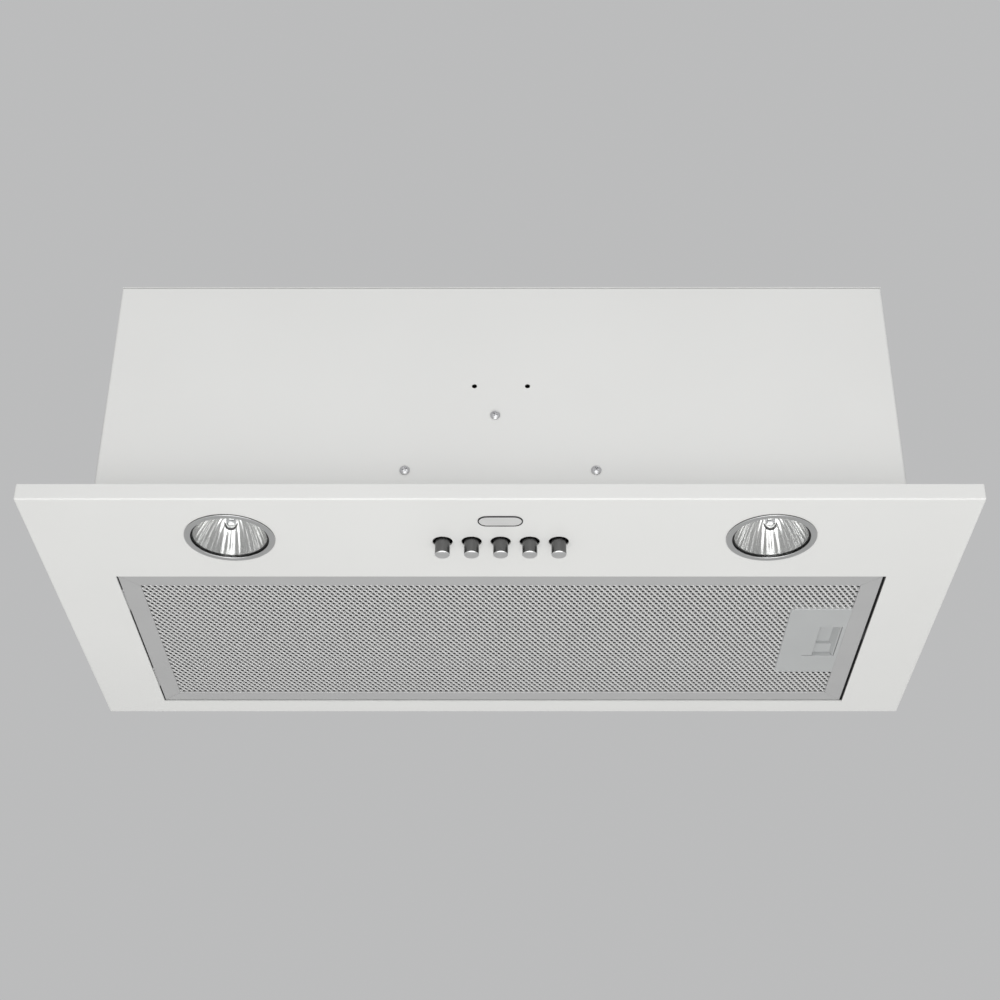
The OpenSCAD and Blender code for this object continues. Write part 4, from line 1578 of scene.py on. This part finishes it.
@dataclass
class Latch:
    """The filter's latch: the housing in the border and its slider.

    Attributes:
        edge: The radius of the housing's outer edge.
        window_edge: The radius of the finger window's edge.
        window_w: The window's width.
        window_d: The window's depth.
        window_in: How far the window lies from the border's seam.
        travel: How far the slider moves.
        plate: The thickness of the slider's plate.
        tongue: The width of its tongue.
        clear: Its clearance in the window.
        grip: The width of its sloped finger grip.
        grip_lip: The width of the grip's lip.
        step: The depth of the step behind the grip.
        step_h: The height of the step.
    """

    edge: float = 0.9 * MM
    window_edge: float = 0.25 * MM
    window_w: float = 15.7 * MM
    window_d: float = 44.7 * MM
    window_in: float = 2.6 * MM
    travel: float = 6 * MM
    plate: float = 1.6 * MM
    tongue: float = 16 * MM
    clear: float = 0.3 * MM
    grip: float = 4.6 * MM
    grip_lip: float = 0.8 * MM
    step: float = 13.2 * MM
    step_h: float = 2.3 * MM

    def window(self) -> tuple[Vector, Vector]:
        """Gives the finger window's corners.

        Returns:
            Its lowest corner on the housing's face, and its highest on the slider's plate.
        """
        low, high = corners("latch_housing")
        right = filter_box()[1].x - FilterUnit.border - self.window_in
        back = (low.y + high.y + self.window_d) / 2
        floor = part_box("latch_slider")[1][2] - self.plate
        return (
            Vector((right - self.window_w, back - self.window_d, low.z)),
            Vector((right, back, floor)),
        )

    def build(self) -> None:
        """Builds the housing, the slider and the spring."""
        self.cover().piece("latch_cover", LATCH_GREY, "filter", ["latch_housing"])
        self.thumb().piece("latch_thumb", LATCH_GREY, "latch", ["latch_slider"])
        low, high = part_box("latch_spring")
        spring("latch_spring", "filter", "latch", low, (high[0], *low[1:]))

    def cover(self) -> Form:
        """Rounds the housing's edges and hollows it where the slider's step runs.

        Returns:
            The housing.
        """
        low, high = corners("latch_housing")
        near, far = self.window()
        hollow = Form()
        hollow.box(
            (near.x - self.travel - MM, far.y - self.step - 2 * self.clear, low.z + 1.2 * MM),
            (near.x + self.clear, far.y + self.clear, far.z),
        )
        form = carve(Form.from_node("latch_housing"), hollow)
        face = low.z + HAIR
        seam_x = filter_box()[1].x - FilterUnit.border
        edges = form.edges_where(
            lambda a, b: max(a.z, b.z) < face and max(a.x, b.x) < seam_x + HAIR, 40
        )
        inner = [
            edge for edge in edges
            if all(near.x - 8 * MM < v.co.x < seam_x - MM
                   and low.y + 8 * MM < v.co.y < high.y - 8 * MM for v in edge.verts)
        ]
        outer = [
            edge for edge in edges
            if edge not in inner and min(v.co.x for v in edge.verts) < seam_x - MM
        ]
        form.round(outer, self.edge, 4)
        form.round([edge for edge in inner if edge.is_valid], self.window_edge, 2)
        return form

    def thumb(self) -> Form:
        """Builds the slider: plate, tongue, sloped finger grip and step.

        Returns:
            The slider.
        """
        low, high = corners("latch_slider")
        near, far = self.window()
        middle_y, half = (low.y + high.y) / 2, self.tongue / 2
        seam_x = far.x + self.window_in
        pull, floor = far.x - self.clear, far.z
        form = Form()
        plate, tongue, step, grip = Form(), Form(), Form(), Form()
        plate.box((low.x, low.y, floor), (seam_x + 4 * MM, high.y, high.z))
        tongue.box((seam_x, middle_y - half, floor), (high.x, middle_y + half, high.z))
        step.box(
            (near.x + self.clear, far.y - self.clear - self.step, floor - self.step_h),
            (pull - self.grip_lip, far.y - self.clear, floor + 0.1 * MM),
        )
        section = [(pull - self.grip, floor + 0.1 * MM), (pull, floor + 0.1 * MM), (pull, low.z),
                   (pull - self.grip_lip, low.z)]
        face = grip.flat([(x, near.y + self.clear, z) for x, z in section])
        grip.push([face], (0, self.window_d - 2 * self.clear, 0))
        grip.tidy()
        for part in (plate, tongue, step, grip):
            form.add(part.soften(0.18 * MM, 2, 40))
        return form


@dataclass
class DuctCollar:
    """The moulded duct collar with its gussets, and the two damper flaps.

    Attributes:
        wall: The thickness of the collar's tube.
        gussets: How many gussets stand round the tube.
        rib: The thickness of a gusset.
    """

    wall: float = 1.5 * MM
    gussets: int = 16
    rib: float = 1.6 * MM

    def build(self) -> None:
        """Builds the collar and the flaps, and dresses the rod."""
        low, high = corners("duct_collar")
        spot = (low + high) / 2
        flange = (high.x - low.x) / 2
        tube = 59.5 * MM
        ledge, seat = 54 * MM, low.z + 3.5 * MM
        base, root = low.z + 2 * MM, low.z + 5 * MM
        inner = tube - self.wall
        outline = [(ledge, low.z), (flange - 0.3 * MM, low.z), (flange, low.z + 0.3 * MM)]
        outline += arc((flange - 0.8 * MM, base - 0.8 * MM), 0.8 * MM, 0, 90, 4)
        outline += [(tube + 2 * MM, base), (tube + 2 * MM, root - 0.5 * MM)]
        outline += [(tube + 1.5 * MM, root), (tube, root), (tube, high.z - 1.5 * MM)]
        outline += [(tube - 0.5 * MM, high.z - 0.2 * MM), (tube - 0.75 * MM, high.z)]
        outline += [(inner, high.z - 0.3 * MM), (inner, seat), (ledge, seat)]
        form = Form()
        form.lathe(outline, 128)
        for number in range(self.gussets):
            angle = 360 * (number + 0.5) / self.gussets
            if abs(angle % 90 - 45) < 8:
                continue
            rib = Form()
            rib.box(
                (tube + 1.5 * MM, -self.rib / 2, base - 0.2 * MM),
                (flange - 2 * MM, self.rib / 2, root),
            )
            outer = [v for v in rib.mesh.verts if v.co.x > flange - 3 * MM and v.co.z > base]
            bmesh.ops.translate(rib.mesh, vec=(0, 0, base + 0.4 * MM - root), verts=outer)
            form.add(rib.soften(0.2 * MM).turn(angle, Axis.Z))
        form.move((spot.x, spot.y, 0)).piece(
            "collar_moulding", BLACK_MOULDING, replaces=["duct_collar"]
        )
        for half in ("front", "rear"):
            flap = Form.from_node(f"flap_{half}").soften(0.15 * MM, 2, 50)
            flap.piece(f"damper_flap_{half}", BLACK_MOULDING, f"damper_{half}", [f"flap_{half}"])
        dress(SPRING_STEEL, "flap_rod")


@dataclass
class Blower:
    """The blower behind the filter: scroll, squirrel-cage rotor and motor."""

    def build(self) -> None:
        """Dresses the blower, and rounds what shows through the open filter."""
        for side in Side:
            node = f"scroll_{side.value}"
            Form.from_node(node).soften(0.25 * MM, 2, 60).piece(
                f"scroll_half_{side.value}", BLOWER_GREY, replaces=[node]
            )
        dress(IMPELLER_BLACK, "impeller", "impeller_disc")
        dress(MOTOR_STEEL, "motor_housing", "motor_rotor", "motor_stator")
        dress(SPRING_STEEL, "motor_shaft", "motor_bearings")
        dress(ZINC_SHEET, "motor_bracket")
        dress(RUBBER, "motor_grommets")
        dress(SCREW_ZINC, "motor_screws", "blower_screws")


@dataclass
class Electrics:
    """The terminal box and the motor's capacitor."""

    def build(self) -> None:
        """Rounds the mouldings and dresses the rest."""
        for node in ("terminal_box", "terminal_lid"):
            Form.from_node(node).soften(0.5 * MM, 3, 60).piece(
                f"{node}_moulding", BLACK_MOULDING, replaces=[node]
            )
        Form.from_node("capacitor").soften(1.2 * MM, 3, 60).piece(
            "capacitor_can", CAPACITOR_CASE, replaces=["capacitor"]
        )
        dress(ZINC_SHEET, "capacitor_clip")


# ---- Studio ----


# Each light's name, place, width, power in watts and beam in degrees
LIGHTS = (
    ("key", (0.1, -2.3, 0.25), 1.8, 12.9, 180),
    ("fill", (0.02, -0.45, -1.5), 1.5, 14.4, 180),
    ("low", (0.05, -1.8, -1.2), 1.2, 1.8, 80),
    ("top", (0.6, 0.6, 2.4), 1.6, 13, 180),
)


@dataclass
class Studio:
    """The plain floor, the soft lights and the camera.

    Attributes:
        floor_z: The floor's height.
        lens: The camera's focal length in millimetres.
        spot: The camera's place.
        tilt: The camera's turn about X, in degrees.
        shift: The camera's shift.
    """

    floor_z: float = -1.8
    lens: float = 65.03
    spot: tuple[float, float, float] = (0.0111, -1.1063, -0.5892)
    tilt: float = 121.42
    shift: tuple[float, float] = (-0.018, -0.004)

    def build(self) -> None:
        """Builds the studio."""
        scene = bpy.context.scene
        scene.view_settings.view_transform = "Standard"
        lens = bpy.data.cameras.new("camera")
        lens.lens = self.lens
        lens.shift_x, lens.shift_y = self.shift
        camera = bpy.data.objects.new("camera", lens)
        camera.location = self.spot
        camera.rotation_euler = (math.radians(self.tilt), 0, 0)
        scene.collection.objects.link(camera)
        scene.camera = camera
        self.floor()
        self.sky()
        for name, spot, size, power, spread in LIGHTS:
            self.light(name, spot, size, power, spread)

    def floor(self) -> None:
        """Lays the pale floor."""
        form = Form()
        bmesh.ops.create_grid(form.mesh, x_segments=1, y_segments=1, size=6)
        data = bpy.data.meshes.new("floor")
        form.move((0, 0, self.floor_z)).mesh.to_mesh(data)
        made = bpy.data.objects.new("floor", data)
        bpy.context.scene.collection.objects.link(made)
        finish = Finish("studio_floor", "white_enamel", (0.7, 0.7, 0.69), 0.8, spread=0.0)
        data.materials.append(finish.material())

    def sky(self) -> None:
        """Sets the even grey surroundings."""
        world = bpy.data.worlds.new("surroundings")
        bpy.context.scene.world = world
        world.use_nodes = True
        inputs = world.node_tree.nodes["Background"].inputs
        inputs["Color"].default_value = (0.5, 0.502, 0.505, 1)
        inputs["Strength"].default_value = 1.0

    def light(self, name: str, spot: Point, size: float, power: float, spread: float) -> None:
        """Hangs a soft square light that faces the hood.

        Args:
            name: The light's name.
            spot: Its place.
            size: Its width.
            power: Its power in watts.
            spread: How wide its beam is, in degrees.
        """
        lamp = bpy.data.lights.new(name, "AREA")
        lamp.size, lamp.energy, lamp.spread = size, power, math.radians(spread)
        made = bpy.data.objects.new(name, lamp)
        made.location = spot
        made.rotation_euler = (-Vector(spot)).to_track_quat("-Z", "Y").to_euler()
        bpy.context.scene.collection.objects.link(made)


def main() -> None:
    """Builds the studio and then each sub-assembly."""
    logging.basicConfig(level=logging.INFO, format="%(name)s: %(message)s")
    Studio().build()
    FacePanel().build()
    Body().build()
    for side in Side:
        Lamp(side).build()
    LampInside().build()
    SwitchUnit().build()
    Badge().build()
    FilterUnit().build()
    Latch().build()
    DuctCollar().build()
    Blower().build()
    Electrics().build()


if __name__ == "__main__":
    main()
